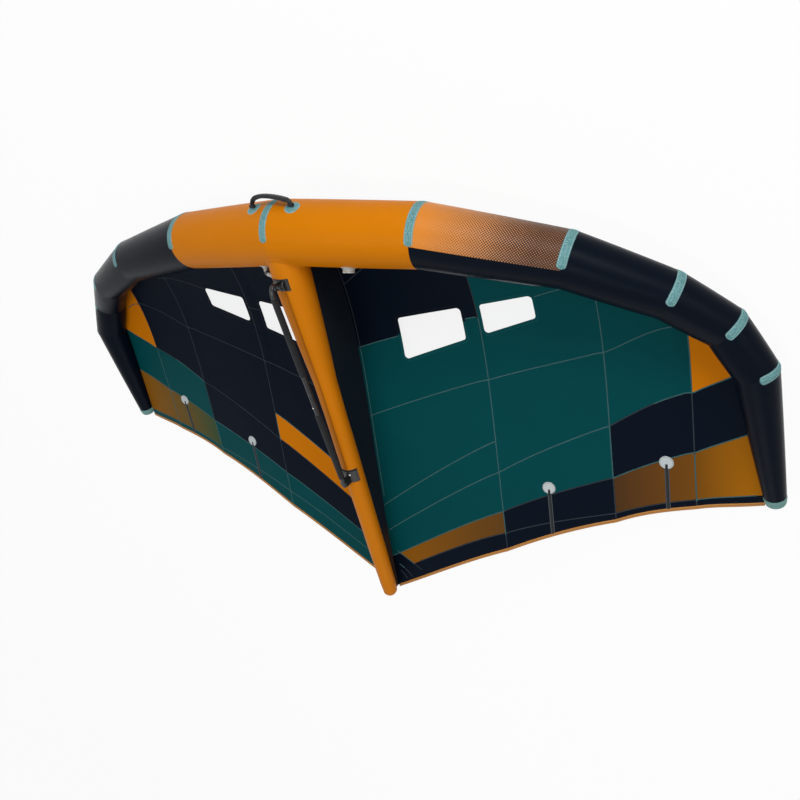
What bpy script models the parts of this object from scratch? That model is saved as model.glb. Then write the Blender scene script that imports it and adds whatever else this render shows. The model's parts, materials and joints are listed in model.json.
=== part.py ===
# A wingfoil wing of about 5 square metres, lying on its back on its two tips, rider side up.
# Metres. X runs along the span, +Y towards the leading edge, +Z up. Z is 0 on the ground.
# Places along the chord are given as distances back from the leading edge tube's axis at the centre.

import math

import bmesh
import bpy
import numpy as np
from mathutils import Matrix, Vector

# Clearances
touch_gap = 0.0003
running_gap = 0.0004
cut_overrun = 0.02

# Leading edge tube
half_span = 1.585
tip_sweep = 1.084
centre_rise = 0.273
centre_diameter = 0.236
casing_wall = 0.0025
bladder_wall = 0.0012
standing_press = 0.0008
tube_sides = 28
joint_span_share = (0.0, 0.339, 0.638, 0.822, 0.916, 0.970, 1.0)
joint_sweep_share = (0.0, 0.041, 0.141, 0.267, 0.389, 0.529, 1.0)
joint_rise_share = (1.0, 0.803, 0.621, 0.457)
joint_diameter_share = (1.0, 0.941, 0.788, 0.669, 0.606, 0.585, 0.310)
tip_cap_length = 0.030
tip_cap_length_share = (0.0, 0.45, 0.8, 1.0)
tip_cap_radius_share = (1.0, 0.97, 0.84, 0.5)

# Strut
strut_above_edge = 0.027
strut_root_diameter = 0.146
strut_root_back = 0.020
strut_length = 1.724
strut_run_share = (0.0, 0.077, 0.168, 0.253, 0.343, 0.432, 0.524, 0.629, 0.735, 0.848, 0.965, 0.994, 1.0)
strut_diameter_share = (1.0, 1.0, 0.890, 0.777, 0.630, 0.597, 0.597, 0.570, 0.541, 0.521, 0.466, 0.420, 0.300)
strut_sides = 22
strut_bladder_back = 0.124
web_thickness = 0.0020

# Canopy
canopy_thickness = 0.0020
canopy_tube_gap = 0.0014
centre_chord = 1.754
trailing_drop = 0.062
seam_span_share = (0.0, 0.366, 0.653, 0.839)
trailing_back_share = (1.0, 0.828, 0.718, 0.660)
tip_corner_inset = 0.029
tip_corner_behind = 0.035
trailing_rise_share = (1.0, 0.693, 0.370, 0.240, 0.145)
nose_angle = (math.radians(32), math.radians(20), math.radians(18), math.radians(9))
nose_run_share = (0.29, 0.35, 0.34, 0.33)
tail_run_share = (0.57, 0.55, 0.57, 0.57)
tail_slope = (0.118, 0.160, 0.112, 0.088)
edge_start_turn = math.radians(26)
edge_end_turn = math.radians(78)
seam_chord_share = {
    "S1": (0.362, 0.297, 0.129, 0.055, 0.030),
    "S2": (0.530, 0.479, 0.386, 0.185, 0.100),
    "S4": (0.836, 0.753, 0.644, 0.472, 0.260),
    "S5": (0.911, 0.876, 0.836, 0.740, 0.600),
    "S6": (0.955, 0.947, 0.973, 0.966, 0.950),
}
trailing_tape_width = 0.011

# Windows
inner_window_near = 0.215
inner_window_far_margin = 0.077
inner_window_front_back = (0.460, 0.407)
inner_window_rear_back = (0.642, 0.543)
outer_window_near_margin = 0.006
outer_window_width = 0.216
outer_window_front_back = (0.392, 0.348)
outer_window_rear_back = (0.517, 0.443)
window_corner = 0.016

# Battens with their round end patches
batten_bay_share = (0.442, 0.661)
batten_front_chord_share = (0.837, 0.791)
batten_width = 0.009
batten_thickness = 0.0030
batten_patch_diameter = 0.052
batten_patch_thickness = 0.0024
batten_tail_margin = 0.012

# Front handle
handle_seat_tilt = math.radians(20)
handle_hang_tilt = math.radians(-14)
handle_aside = 0.012
handle_half_reach = 0.087
handle_rise = 0.0345
handle_width = 0.023
handle_thickness = 0.015
handle_barrel_diameter = 0.014
handle_barrel_half_share = 0.7
anchor_diameter = 0.058
anchor_thickness = 0.0030

# Inflation valve and its cap
valve_span = 0.260
valve_tilt = math.radians(23)
valve_flange_diameter = 0.056
valve_flange_thickness = 0.0030
valve_boss_diameter = 0.040
valve_boss_height = 0.012
valve_stem_diameter = 0.034
valve_stem_depth = 0.022
valve_bore_diameter = 0.022
valve_cap_diameter = 0.042
valve_cap_thickness = 0.006
cap_barrel_diameter = 0.005
cap_barrel_length = 0.012

# Hose between the two bladders, on the left of the strut
hose_diameter = 0.015
hose_wall = 0.0018
hose_edge_span = 0.106
hose_edge_tilt = math.radians(25)
hose_strut_back = 0.146
hose_strut_tilt = math.radians(18)
hose_inset = 0.012
hose_edge_reach = 0.034
hose_strut_reach = 0.038

# Boom, placed from its front end along its own axis
boom_front_back = 0.178
boom_front_rise = 0.128
boom_rear_back = 1.059
boom_rear_rise = 0.076
boom_tube_diameter = 0.019
boom_wall = 0.0012
boom_travel = 0.022
inner_tube_wall = 0.0013
grip_diameter = 0.025
grip_lip = 0.0020
upper_grip_start = 0.012
upper_grip_end = 0.346
upper_tube_end = 0.424
inner_tube_end = 0.640
lower_grip_start = 0.526
lower_grip_end = 0.850
lower_tube_end = 0.896
bore_start = 0.006
boom_sides = 20
button_place = 0.487
button_diameter = 0.007
button_proud = 0.0022
button_travel = 0.0020

# Front bracket, its pin and the swan neck that the boom hangs on
pivot_back = 0.162
pivot_above_strut = 0.0125
pivot_pin_diameter = 0.006
pivot_head_diameter = 0.0095
pivot_head_thickness = 0.0020
link_eye_diameter = 0.0160
link_width = 0.0180
link_thickness = 0.0120
neck_root_reach = 0.040
neck_root_tilt = math.radians(38)
neck_head_reach = 0.034
front_base_thickness = 0.0032
front_base_wrap = math.radians(26)
front_base_ahead = 0.022
front_base_behind = 0.022
ear_thickness = 0.0060
ear_margin = 0.0030

# Rear bracket with its open cradle and two bolts
rear_base_front_back = 1.018
rear_base_length = 0.052
rear_base_thickness = 0.0045
rear_base_wrap = math.radians(64)
cradle_length = 0.020
cradle_clearance = 0.0008
cradle_wall = 0.0050
cradle_lip = 0.0030
bolt_head_diameter = 0.0090
bolt_head_thickness = 0.0030
bolt_shank_diameter = 0.0045
bolt_shank_length = 0.0035
bolt_back = 1.032
bolt_turn = math.radians(21)

tube_radius = [centre_diameter / 2 * share for share in joint_diameter_share]
centre_radius = tube_radius[0]
strut_root_radius = strut_root_diameter / 2
strut_height = centre_rise + strut_above_edge
trailing_rise = strut_height - trailing_drop
seam_span = [half_span * share for share in seam_span_share]
corner_spans = (*seam_span, half_span - tip_corner_inset)
trailing_backs = [centre_chord * share for share in trailing_back_share] + [tip_sweep + tip_corner_behind]
handle_bar_reach = math.hypot(
    handle_width / 2 * math.sin(handle_hang_tilt), handle_thickness / 2 * math.cos(handle_hang_tilt)
)
handle_along = handle_half_reach / (half_span * joint_span_share[1])
handle_seat_radius = tube_radius[0] + (tube_radius[1] - tube_radius[0]) * handle_along
handle_seat_back = tip_sweep * joint_sweep_share[1] * handle_along
handle_barrel_half = handle_barrel_diameter * handle_barrel_half_share
handle_seat_fall = (
    centre_rise * (1 - joint_rise_share[1]) * math.sin(handle_seat_tilt)
    + tip_sweep * joint_sweep_share[1] * math.cos(handle_seat_tilt)
    + tube_radius[0]
    - tube_radius[1]
) / (half_span * joint_span_share[1])
anchor_seat = handle_seat_radius + touch_gap
barrel_lift = touch_gap + handle_barrel_diameter / 2 + handle_barrel_half * handle_seat_fall
handle_axis_reach = anchor_seat + anchor_thickness + barrel_lift
handle_reach_forward = (
    handle_axis_reach * math.cos(handle_seat_tilt)
    + handle_rise * math.cos(handle_hang_tilt)
    + handle_bar_reach
    - handle_seat_back
)
rear_reach = max(centre_chord + touch_gap + trailing_tape_width, strut_root_back + strut_length)
centring = (rear_reach - handle_reach_forward) / 2


def clear_scene():
    for old in list(bpy.data.objects):
        bpy.data.objects.remove(old, do_unlink=True)


clear_scene()
datum = bpy.data.objects.new("wing_datum", None)
datum.location = (0.0, centring, 0.0)
bpy.context.scene.collection.objects.link(datum)


def material(name, colour, roughness, metallic=0.0, alpha=1.0):
    made = bpy.data.materials.new(name)
    made.use_nodes = True
    shader = made.node_tree.nodes["Principled BSDF"]
    shader.inputs["Base Color"].default_value = (*colour, 1.0)
    shader.inputs["Roughness"].default_value = roughness
    shader.inputs["Metallic"].default_value = metallic
    shader.inputs["Alpha"].default_value = alpha
    made.diffuse_color = (*colour, alpha)
    return made


orange_dacron = material("orange_dacron", (0.62, 0.22, 0.004), 0.55)
navy_dacron = material("navy_dacron", (0.008, 0.012, 0.022), 0.55)
print_dacron = material("print_dacron", (0.25, 0.11, 0.03), 0.55)
teal_cloth = material("teal_cloth", (0.004, 0.075, 0.08), 0.5)
navy_cloth = material("navy_cloth", (0.008, 0.014, 0.022), 0.5)
orange_cloth = material("orange_cloth", (0.50, 0.19, 0.005), 0.5)
bronze_cloth = material("bronze_cloth", (0.09, 0.035, 0.006), 0.5)
clear_film = material("clear_film", (0.85, 0.87, 0.88), 0.08, 0.0, 0.35)
bladder_film = material("bladder_film", (0.75, 0.76, 0.74), 0.35)
teal_rubber = material("teal_rubber", (0.10, 0.26, 0.27), 0.6)
black_foam = material("black_foam", (0.012, 0.012, 0.014), 0.8)
black_plastic = material("black_plastic", (0.008, 0.008, 0.010), 0.45)
black_alloy = material("black_alloy", (0.010, 0.010, 0.012), 0.35, 0.6)
bright_steel = material("bright_steel", (0.60, 0.60, 0.60), 0.25, 1.0)
pale_rubber = material("pale_rubber", (0.40, 0.46, 0.43), 0.6)
pale_patch = material("pale_patch", (0.55, 0.57, 0.56), 0.6)


def add_object(name, points, faces, finish, origin=(0.0, 0.0, 0.0), smooth=True):
    """One named object whose mesh is given in the wing's own frame, with its origin where asked."""
    mesh = bpy.data.meshes.new(name)
    shift = Vector(origin)
    mesh.from_pydata([Vector(p) - shift for p in points], [], faces)
    work = bmesh.new()
    work.from_mesh(mesh)
    bmesh.ops.recalc_face_normals(work, faces=work.faces)
    work.to_mesh(mesh)
    work.free()
    made = bpy.data.objects.new(name, mesh)
    made.location = shift
    made.parent = datum
    bpy.context.scene.collection.objects.link(made)
    if finish is not None:
        mesh.materials.append(finish)
    if smooth:
        mesh.shade_smooth()
        mesh.set_sharp_from_angle(angle=math.radians(35))
    return made


def loft(rings, capped=True):
    """Points and faces of a skin through rings of equal size. Uncapped, the last ring joins the first."""
    count = len(rings[0])
    points = [tuple(p) for ring in rings for p in ring]
    faces = []
    spans = len(rings) - 1 if capped else len(rings)
    for row in range(spans):
        here = row * count
        there = ((row + 1) % len(rings)) * count
        for i in range(count):
            j = (i + 1) % count
            faces.append((here + i, here + j, there + j, there + i))
    if capped:
        faces.append(tuple(range(count)))
        last = (len(rings) - 1) * count
        faces.append(tuple(range(last, last + count)))
    return points, faces


def circle(centre, along, radius, sides, flat=1.0):
    """A ring square to a direction. flat squeezes it across its own second axis."""
    along = Vector(along).normalized()
    first = along.orthogonal().normalized()
    if abs(along.z) < 0.9:
        first = Vector((0.0, 0.0, 1.0)).cross(along).normalized()
    second = along.cross(first)
    ring = []
    for i in range(sides):
        turn = 2 * math.pi * (i + 0.5) / sides
        ring.append(Vector(centre) + radius * (math.cos(turn) * first + flat * math.sin(turn) * second))
    return ring


def cylinder(start, end, radius, sides=24):
    along = Vector(end) - Vector(start)
    return loft([circle(start, along, radius, sides), circle(end, along, radius, sides)])


def box(low, high):
    (ax, ay, az), (bx, by, bz) = low, high
    lower = [(ax, ay, az), (bx, ay, az), (bx, by, az), (ax, by, az)]
    upper = [(x, y, bz) for x, y, _ in lower]
    return loft([lower, upper])


def boolean(target, operation, other):
    change = target.modifiers.new(other.name, "BOOLEAN")
    change.operation = operation
    change.solver = "EXACT"
    change.object = other


def helper(name, shape):
    made = add_object(name, *shape, None, smooth=False)
    made.hide_render = True
    made.display_type = "WIRE"
    return made


def smooth_between(at, places, values):
    """A cubic through the values, so that a curve given at a few stations has no corner at them."""
    slopes = np.gradient(np.array(values, float), np.array(places, float))
    k = int(np.clip(np.searchsorted(places, at) - 1, 0, len(places) - 2))
    run = places[k + 1] - places[k]
    t = (at - places[k]) / run
    rise = values[k + 1] - values[k]
    a = slopes[k] * run - rise
    b = rise - slopes[k + 1] * run
    return float(values[k] + rise * t + t * (1 - t) * (a * (1 - t) + b * t))


# Leading edge tube. It is a chain of straight cones that meet at mitred seams.
def joint_axis(k):
    """The tube's axis at one seam. The last seams lie on the ground, so their height is their radius."""
    if k < len(joint_rise_share):
        rise = centre_rise * joint_rise_share[k]
    else:
        rise = tube_radius[k] - standing_press
    return Vector((half_span * joint_span_share[k], -tip_sweep * joint_sweep_share[k], rise))


joints = [joint_axis(k) for k in range(len(joint_span_share))]


ways = [(joints[max(k, 1)] - joints[max(k - 1, 0)]).normalized() for k in range(len(joints))]
upright = Vector((0.0, 0.0, 1.0))


def steady_tops():
    """A top direction at each seam that starts upright at the tip and never twists about the tube."""
    tops = [None] * len(joints)
    tops[-1] = ways[-1].cross(upright.cross(ways[-1]).normalized())
    for k in range(len(joints) - 2, -1, -1):
        tops[k] = ways[k + 1].rotation_difference(ways[k]) @ tops[k + 1]
    return tops


seam_tops = steady_tops()


def rim_points(k, inset, turns, top):
    """Points where the tube meets the mitre plane at one seam, each at a turn measured from a top."""
    last = len(joints) - 1
    behind = ways[k]
    if k == 0:
        cut = Vector((1.0, 0.0, 0.0))
    elif k == last:
        cut = behind
    else:
        cut = (ways[k + 1] + behind).normalized()
    side = top.cross(behind).normalized()
    radius = tube_radius[k] - inset
    rim = []
    for turn in turns:
        out = radius * (math.cos(turn) * top + math.sin(turn) * side)
        point = joints[k] + out - behind * (out.dot(cut) / behind.dot(cut))
        point.z = max(point.z, inset)
        rim.append(point)
    return rim


def tube_rim(k, inset, turns):
    """Rim points whose turns are measured from the true top, for what is laid against the tube."""
    side = upright.cross(ways[k]).normalized()
    return rim_points(k, inset, turns, ways[k].cross(side))


even_turns = [2 * math.pi * (i + 0.5) / tube_sides for i in range(tube_sides)]


def body_rim(k, inset):
    """The ring of one seam for the tube's own solids."""
    return rim_points(k, inset, even_turns, seam_tops[k])


def mirrored(ring):
    return [Vector((-p.x, p.y, p.z)) for p in ring]


def sleeve_between(k, side):
    """One casing panel: a thin cone between two seams, a touch short of its neighbours."""
    along = (joints[k + 1] - joints[k]).normalized() * (touch_gap / 2)
    outer = [[p + along for p in body_rim(k, 0.0)], [p - along for p in body_rim(k + 1, 0.0)]]
    inner = [[p + along for p in body_rim(k, casing_wall)]]
    inner.append([p - along for p in body_rim(k + 1, casing_wall)])
    rings = [outer[0], outer[1], inner[1], inner[0]]
    if side < 0:
        rings = [mirrored(ring) for ring in rings]
    return loft(rings, capped=False)


panel_finish = {
    1: [orange_dacron, print_dacron, navy_dacron, navy_dacron, navy_dacron, navy_dacron],
    -1: [orange_dacron, navy_dacron, navy_dacron, navy_dacron, navy_dacron, navy_dacron],
}
side_names = {1: "right", -1: "left"}
casings = {}
for side, side_name in side_names.items():
    for k in range(len(joints) - 1):
        name = f"edge_casing_{side_name}_{k + 1}"
        casings[side, k] = add_object(name, *sleeve_between(k, side), panel_finish[side][k])


def full_tube(inset, shorten=0.0):
    """The whole tube from tip to tip as one solid, inset from the casing's outer face."""
    half = [body_rim(k, inset) for k in range(len(joints))]
    back = (joints[-2] - joints[-1]).normalized() * shorten
    half[-1] = [p + back for p in half[-1]]
    return loft([mirrored(ring) for ring in reversed(half[1:])] + half)


def centre_tube(inset):
    """The tube's centre stretch, longer than what is seated on it, as a cutter for seats."""
    ring = body_rim(1, inset)
    return loft([mirrored(ring), body_rim(0, inset), ring])


bladder_inset = casing_wall + touch_gap
bladder_end_gap = casing_wall
edge_bladder = add_object("edge_bladder", *full_tube(bladder_inset, bladder_end_gap), bladder_film)
bladder_core = helper(
    "edge_bladder_core", full_tube(bladder_inset + bladder_wall, bladder_end_gap + bladder_wall)
)
boolean(edge_bladder, "DIFFERENCE", bladder_core)
edge_clearance = helper("edge_clearance", centre_tube(-touch_gap))


def tip_cap(side):
    """The moulded cap that closes one end of the tube."""
    along = (joints[-1] - joints[-2]).normalized()
    rim = body_rim(len(joints) - 1, 0.0)
    rings = []
    for run, size in zip(tip_cap_length_share, tip_cap_radius_share):
        centre = joints[-1] + along * (touch_gap / 2 + run * tip_cap_length)
        rings.append([centre + (p - joints[-1]) * size for p in rim])
    if side < 0:
        rings = [mirrored(ring) for ring in rings]
    return loft(rings)


for side, side_name in side_names.items():
    add_object(f"tip_cap_{side_name}", *tip_cap(side), teal_rubber)


# Strut
def strut_radius(back):
    places = [strut_root_back + share * strut_length for share in strut_run_share]
    radii = [strut_root_radius * share for share in strut_diameter_share]
    return float(np.interp(back, places, radii))


def strut_rings(inset, front_back, end_inset=0.0):
    tail = strut_root_back + strut_length - end_inset
    places = [front_back]
    for share in strut_run_share:
        back = strut_root_back + share * strut_length
        if front_back < back < tail:
            places.append(back)
    places.append(tail)
    along = (0.0, -1.0, 0.0)
    return [
        circle((0.0, -back, strut_height), along, strut_radius(back) - inset, strut_sides)
        for back in places
    ]


outer_skin = strut_rings(0.0, strut_root_back)
inner_skin = strut_rings(casing_wall, strut_root_back, casing_wall)
strut_casing = add_object("strut_casing", *loft(inner_skin[::-1] + outer_skin), orange_dacron)
boolean(strut_casing, "DIFFERENCE", edge_clearance)
bladder_tail = casing_wall + touch_gap
strut_bladder = add_object(
    "strut_bladder", *loft(strut_rings(bladder_inset, strut_bladder_back, bladder_tail)), bladder_film
)
strut_core = helper(
    "strut_bladder_core",
    loft(
        strut_rings(
            bladder_inset + bladder_wall, strut_bladder_back + bladder_wall, bladder_tail + bladder_wall
        )
    ),
)
boolean(strut_bladder, "DIFFERENCE", strut_core)
strut_clearance = helper("strut_clearance", loft(strut_rings(-touch_gap, strut_root_back)))


# Canopy. Each chordwise profile leaves the tube's underside along it, and a cubic runs to the trailing edge.
stations = [float(i) for i in range(len(corner_spans))]
last_seam = len(seam_span) - 1


def tube_place(along, turn):
    """A point a little outside the tube, at a place counted in seams and a turn from the top."""
    k = min(int(along), len(joints) - 2)
    start = tube_rim(k, -canopy_tube_gap, [turn])[0]
    end = tube_rim(k + 1, -canopy_tube_gap, [turn])[0]
    return start.lerp(end, along - k)


def nose_at(span, angle):
    """Where a profile at a given span leaves the tube, tangent to it."""
    turn = math.pi - angle
    rims = [tube_rim(k, -canopy_tube_gap, [turn])[0] for k in range(len(joints) - 1)]
    spans = [p.x for p in rims]
    return Vector((span, np.interp(span, spans, [p.y for p in rims]), np.interp(span, spans, [p.z for p in rims])))


def trailing_at(station):
    span = smooth_between(station, stations, corner_spans)
    back = smooth_between(station, stations, trailing_backs)
    rise = trailing_rise * smooth_between(station, stations, trailing_rise_share)
    return Vector((span, -back, rise))


def profile_at(station, share):
    """A point of the canopy inboard of the last chordwise seam, at a share of its chord."""
    span = float(np.interp(station, stations[: last_seam + 1], seam_span))
    seams = stations[: last_seam + 1]
    angle = smooth_between(station, seams, nose_angle)
    start = nose_at(span, angle)
    end = trailing_at(station)
    end.x = span
    chord = start.y - end.y
    nose_run = chord * smooth_between(station, seams, nose_run_share)
    tail_run = chord * smooth_between(station, seams, tail_run_share)
    slope = smooth_between(station, seams, tail_slope)
    turn_step = math.radians(1)
    heading = (nose_at(span, angle - turn_step) - nose_at(span, angle + turn_step)).normalized()
    nose_handle = start + nose_run * heading
    tail_handle = end + tail_run * Vector((0.0, 1.0, -slope))
    if share > 1:
        return end + (share - 1) * chord * Vector((0.0, -1.0, slope))
    curve_steps = 48
    t = np.linspace(0, 1, curve_steps + 1)
    weights = ((1 - t) ** 3, 3 * t * (1 - t) ** 2, 3 * t * t * (1 - t), t ** 3)
    corners = (start, nose_handle, tail_handle, end)
    y = sum(w * c.y for w, c in zip(weights, corners))
    z = sum(w * c.z for w, c in zip(weights, corners))
    wanted = start.y - share * chord
    return Vector((span, wanted, float(np.interp(-wanted, -y, z))))


def edge_at(share):
    """The canopy's outer edge, which runs along the inner side of the tube's last stretch to its tip."""
    first, last = 4, len(joints) - 1
    run = min(share, 1.0)
    turn = math.pi + edge_start_turn + (edge_end_turn - edge_start_turn) * run
    point = tube_place(first + (last - first) * run ** 0.6, turn)
    corner = trailing_at(stations[-1])
    tip = tube_place(last, math.pi + edge_end_turn)
    slip = corner.y - tip.y
    point.y += slip * run * run if slip < 0 else 0.0
    if share > 1:
        point.y -= (share - 1) * (joints[first].y - corner.y)
    return point


def canopy_point(station, share):
    """A point of the canopy's upper face. The tip panel blends the last seam's profile into the outer edge."""
    if station <= last_seam:
        return profile_at(station, share)
    mix = station - last_seam
    inner = profile_at(last_seam, share)
    outer = edge_at(share)
    point = inner.lerp(outer, mix)
    hold = min(share, 1.0)
    front_turn = math.pi + edge_start_turn * mix - nose_angle[-1] * (1 - mix)
    front_start = profile_at(last_seam, 0.0)
    front = tube_place(np.interp(mix, (0, 1), (front_place, 4)), front_turn)
    point += (front - front_start.lerp(edge_at(0.0), mix)) * (1 - hold)
    rear = trailing_at(station)
    rear_straight = trailing_at(last_seam).lerp(edge_at(1.0), mix)
    rear.x, rear.z = rear_straight.x, rear_straight.z
    point += (rear.lerp(rear_straight, mix) - rear_straight) * hold
    return point


front_rims = [tube_rim(k, -canopy_tube_gap, [math.pi - nose_angle[-1]])[0].x for k in range(len(joints) - 1)]
front_place = float(np.interp(seam_span[-1], front_rims, range(len(front_rims))))


def seam_share(line, station):
    if line == "nose":
        return 0.0
    if line == "tail":
        return 1.0
    return smooth_between(station, stations, seam_chord_share[line])


def chord_at(station):
    return (canopy_point(station, 0.0) - canopy_point(station, 1.0)).length


def section_length(station):
    k = min(int(station), len(stations) - 2)
    return corner_spans[k + 1] - corner_spans[k]


def bend_stations():
    """Stations at which the canopy's nose passes the tube's bends, where a column of points must lie."""
    found = []
    seams = stations[: last_seam + 1]
    for k in range(1, len(joints) - 1):
        span = joints[k].x
        for _ in range(3):
            station = float(np.interp(span, seam_span, seams))
            angle = smooth_between(station, seams, nose_angle)
            span = tube_rim(k, -canopy_tube_gap, [math.pi - angle])[0].x
        if span < seam_span[-1]:
            found.append(float(np.interp(span, seam_span, seams)))
    return found


bends = bend_stations()


def bay_stations(start, end, columns):
    """Even columns across one bay, with the nearest inner one moved to each bend of the tube."""
    places = [start + (end - start) * i / columns for i in range(columns + 1)]
    for bend in bends:
        if start < bend < end:
            nearest = min(range(1, columns), key=lambda i: abs(places[i] - bend))
            places[nearest] = bend
    return places


def canopy_grid(first, last, front, rear, columns, rows, inner_gap):
    """Rows of points over one panel, drawn in from its seams by half the gap between panels."""
    grid = []
    step_in = touch_gap / 2 / section_length(first)
    start = first + (inner_gap / section_length(first) if inner_gap else step_in)
    end = last - (step_in if last < stations[-1] else 0.0)
    for station in bay_stations(start, end, columns):
        ease = touch_gap / 2 / chord_at(station)
        near = seam_share(front, station) + (ease if front != "nose" else 0.0)
        far = seam_share(rear, station) - (ease if rear != "tail" else 0.0)
        grid.append([canopy_point(station, near + (far - near) * j / rows) for j in range(rows + 1)])
    return grid


def plate(grid, thickness, side):
    """A thin closed solid under a grid of points, which are its upper face."""
    columns, rows = len(grid), len(grid[0])
    lower = []
    for i in range(columns):
        line = []
        for j in range(rows):
            across = grid[min(i + 1, columns - 1)][j] - grid[max(i - 1, 0)][j]
            along = grid[i][min(j + 1, rows - 1)] - grid[i][max(j - 1, 0)]
            down = across.cross(along).normalized()
            if down.z > 0:
                down = -down
            line.append(grid[i][j] + down * thickness)
        lower.append(line)
    points = [p for line in grid for p in line] + [p for line in lower for p in line]
    if side < 0:
        points = [Vector((-p.x, p.y, p.z)) for p in points]
    under = columns * rows
    faces = []
    for i in range(columns - 1):
        for j in range(rows - 1):
            a, b = i * rows + j, (i + 1) * rows + j
            faces.append((a, b, b + 1, a + 1))
            faces.append((under + a, under + a + 1, under + b + 1, under + b))
    border = [i * rows for i in range(columns)]
    border += [(columns - 1) * rows + j for j in range(1, rows)]
    border += [i * rows + rows - 1 for i in range(columns - 2, -1, -1)]
    border += [j for j in range(rows - 2, 0, -1)]
    for a, b in zip(border, border[1:] + border[:1]):
        faces.append((a, b, under + b, under + a))
    return points, faces


web_side = web_thickness / 2 + touch_gap
canopy_panels = (
    ("canopy_centre_front", 0, 1, "nose", "S1", 6, 6),
    ("canopy_centre_middle", 0, 1, "S1", "S5", 6, 5),
    ("canopy_centre_rear", 0, 1, "S5", "tail", 6, 2),
    ("canopy_second_front", 1, 2, "nose", "S5", 5, 8),
    ("canopy_second_rear", 1, 2, "S5", "tail", 5, 2),
    ("canopy_third_front", 2, 3, "nose", "S4", 4, 6),
    ("canopy_third_rear", 2, 3, "S4", "tail", 4, 5),
    ("canopy_tip", 3, 4, "nose", "tail", 5, 9),
)
panel_colours = {
    1: (navy_cloth, teal_cloth, navy_cloth, teal_cloth, navy_cloth, teal_cloth, bronze_cloth, orange_cloth),
    -1: (navy_cloth, navy_cloth, teal_cloth, navy_cloth, teal_cloth, navy_cloth, teal_cloth, orange_cloth),
}
canopy = {}
for side, side_name in side_names.items():
    for (name, first, last, front, rear, columns, rows), finish in zip(canopy_panels, panel_colours[side]):
        inner_gap = web_side if first == 0 else 0.0
        grid = canopy_grid(first, last, front, rear, columns, rows, inner_gap)
        shape = plate(grid, canopy_thickness, side)
        canopy[side, name] = add_object(f"{name}_{side_name}", *shape, finish)


def rounded_outline(corners, radius, steps=4):
    """A closed outline with each corner rounded by an arc of the given radius."""
    outline = []
    count = len(corners)
    for i, corner in enumerate(corners):
        here = Vector(corner)
        before = (Vector(corners[i - 1]) - here).normalized()
        after = (Vector(corners[(i + 1) % count]) - here).normalized()
        half = before.angle(after) / 2
        reach = radius / math.tan(half)
        centre = here + (before + after).normalized() * (radius / math.sin(half))
        start, end = here + before * reach - centre, here + after * reach - centre
        for step in range(steps + 1):
            outline.append(centre + start.lerp(end, step / steps).normalized() * radius)
    return outline


def window_prism(near, far, front_back, rear_back, grow, side):
    corners = [
        (near - grow, -front_back[0] + grow),
        (far + grow, -front_back[1] + grow),
        (far + grow, -rear_back[1] - grow),
        (near - grow, -rear_back[0] - grow),
    ]
    outline = rounded_outline(corners, window_corner + grow)
    flat = [(side * p.x, p.y) for p in outline]
    low = [Vector((x, y, -cut_overrun)) for x, y in flat]
    high = [Vector((x, y, strut_height / 2)) for x, y in flat]
    return loft([low, high])


inner_window_far = seam_span[1] - inner_window_far_margin
outer_window_near = seam_span[1] + outer_window_near_margin
outer_window_far = outer_window_near + outer_window_width
windows = (
    ("window_inner", inner_window_near, inner_window_far, inner_window_front_back, inner_window_rear_back, 0, 1),
    ("window_outer", outer_window_near, outer_window_far, outer_window_front_back, outer_window_rear_back, 1, 2),
)
window_hosts = {
    "window_inner": ("canopy_centre_front", "canopy_centre_middle"),
    "window_outer": ("canopy_second_front",),
}
for side, side_name in side_names.items():
    for name, near, far, front_back, rear_back, first, last in windows:
        opening = helper(
            f"{name}_opening_{side_name}",
            window_prism(near, far, front_back, rear_back, touch_gap, side),
        )
        for host in window_hosts[name]:
            boolean(canopy[side, host], "DIFFERENCE", opening)
        inner_gap = web_side if first == 0 else 0.0
        grid = canopy_grid(first, last, "nose", "S5", 6 if first == 0 else 5, 12, inner_gap)
        pane = add_object(f"{name}_{side_name}", *plate(grid, canopy_thickness, side), clear_film)
        outline = helper(
            f"{name}_outline_{side_name}", window_prism(near, far, front_back, rear_back, 0.0, side)
        )
        boolean(pane, "INTERSECT", outline)


# Web between the strut and the canopy's centre seam
def web_outline():
    top, bottom = [], []
    front = centre_radius + touch_gap
    start = strut_height - strut_radius(front) - touch_gap
    steps = 14
    strut_backs = [strut_root_back + share * strut_length for share in strut_run_share]
    for back in [front] + [b for b in strut_backs if front < b < centre_chord] + [centre_chord]:
        top.append((-back, strut_height - strut_radius(back) - 2 * touch_gap))
    for i in range(steps + 1):
        share = 1 - i / steps
        point = canopy_point(0.0, share)
        bottom.append((point.y, point.z - canopy_thickness))
    drop = max(-(start - centre_rise) / centre_radius, 0.0)
    first_turn = math.pi * 1.5 - math.asin(min(drop, 1.0))
    last_turn = math.pi - nose_angle[0]
    arc = []
    for i in range(steps + 1):
        turn = last_turn + (first_turn - last_turn) * i / steps
        radius = centre_radius + canopy_tube_gap
        arc.append((math.sin(turn) * radius, centre_rise + math.cos(turn) * radius))
    return top + bottom + arc[1:-1]


def web():
    outline = web_outline()
    sides = [[Vector((x, y, z)) for y, z in outline] for x in (-web_thickness / 2, web_thickness / 2)]
    return loft(sides)


strut_web = add_object("strut_web", *web(), navy_cloth, smooth=False)


# Trailing edge tape
def tape_stations():
    """The same columns as the panels that the tape is sewn to."""
    places = []
    for _, first, last, _, rear, columns, _ in canopy_panels:
        if rear == "tail":
            start = first + (web_side / section_length(first) if first == 0 else 0.0)
            places += bay_stations(start, last, columns)[:-1]
    return places + [stations[-1]]


def trailing_tape(side):
    grid = []
    for station in tape_stations():
        chord = abs(canopy_point(station, 0.0).y - canopy_point(station, 1.0).y)
        near = canopy_point(station, 1 + touch_gap / chord)
        far = canopy_point(station, 1 + (touch_gap + trailing_tape_width) / chord)
        grid.append([near, far])
    return plate(grid, canopy_thickness, side)


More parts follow.
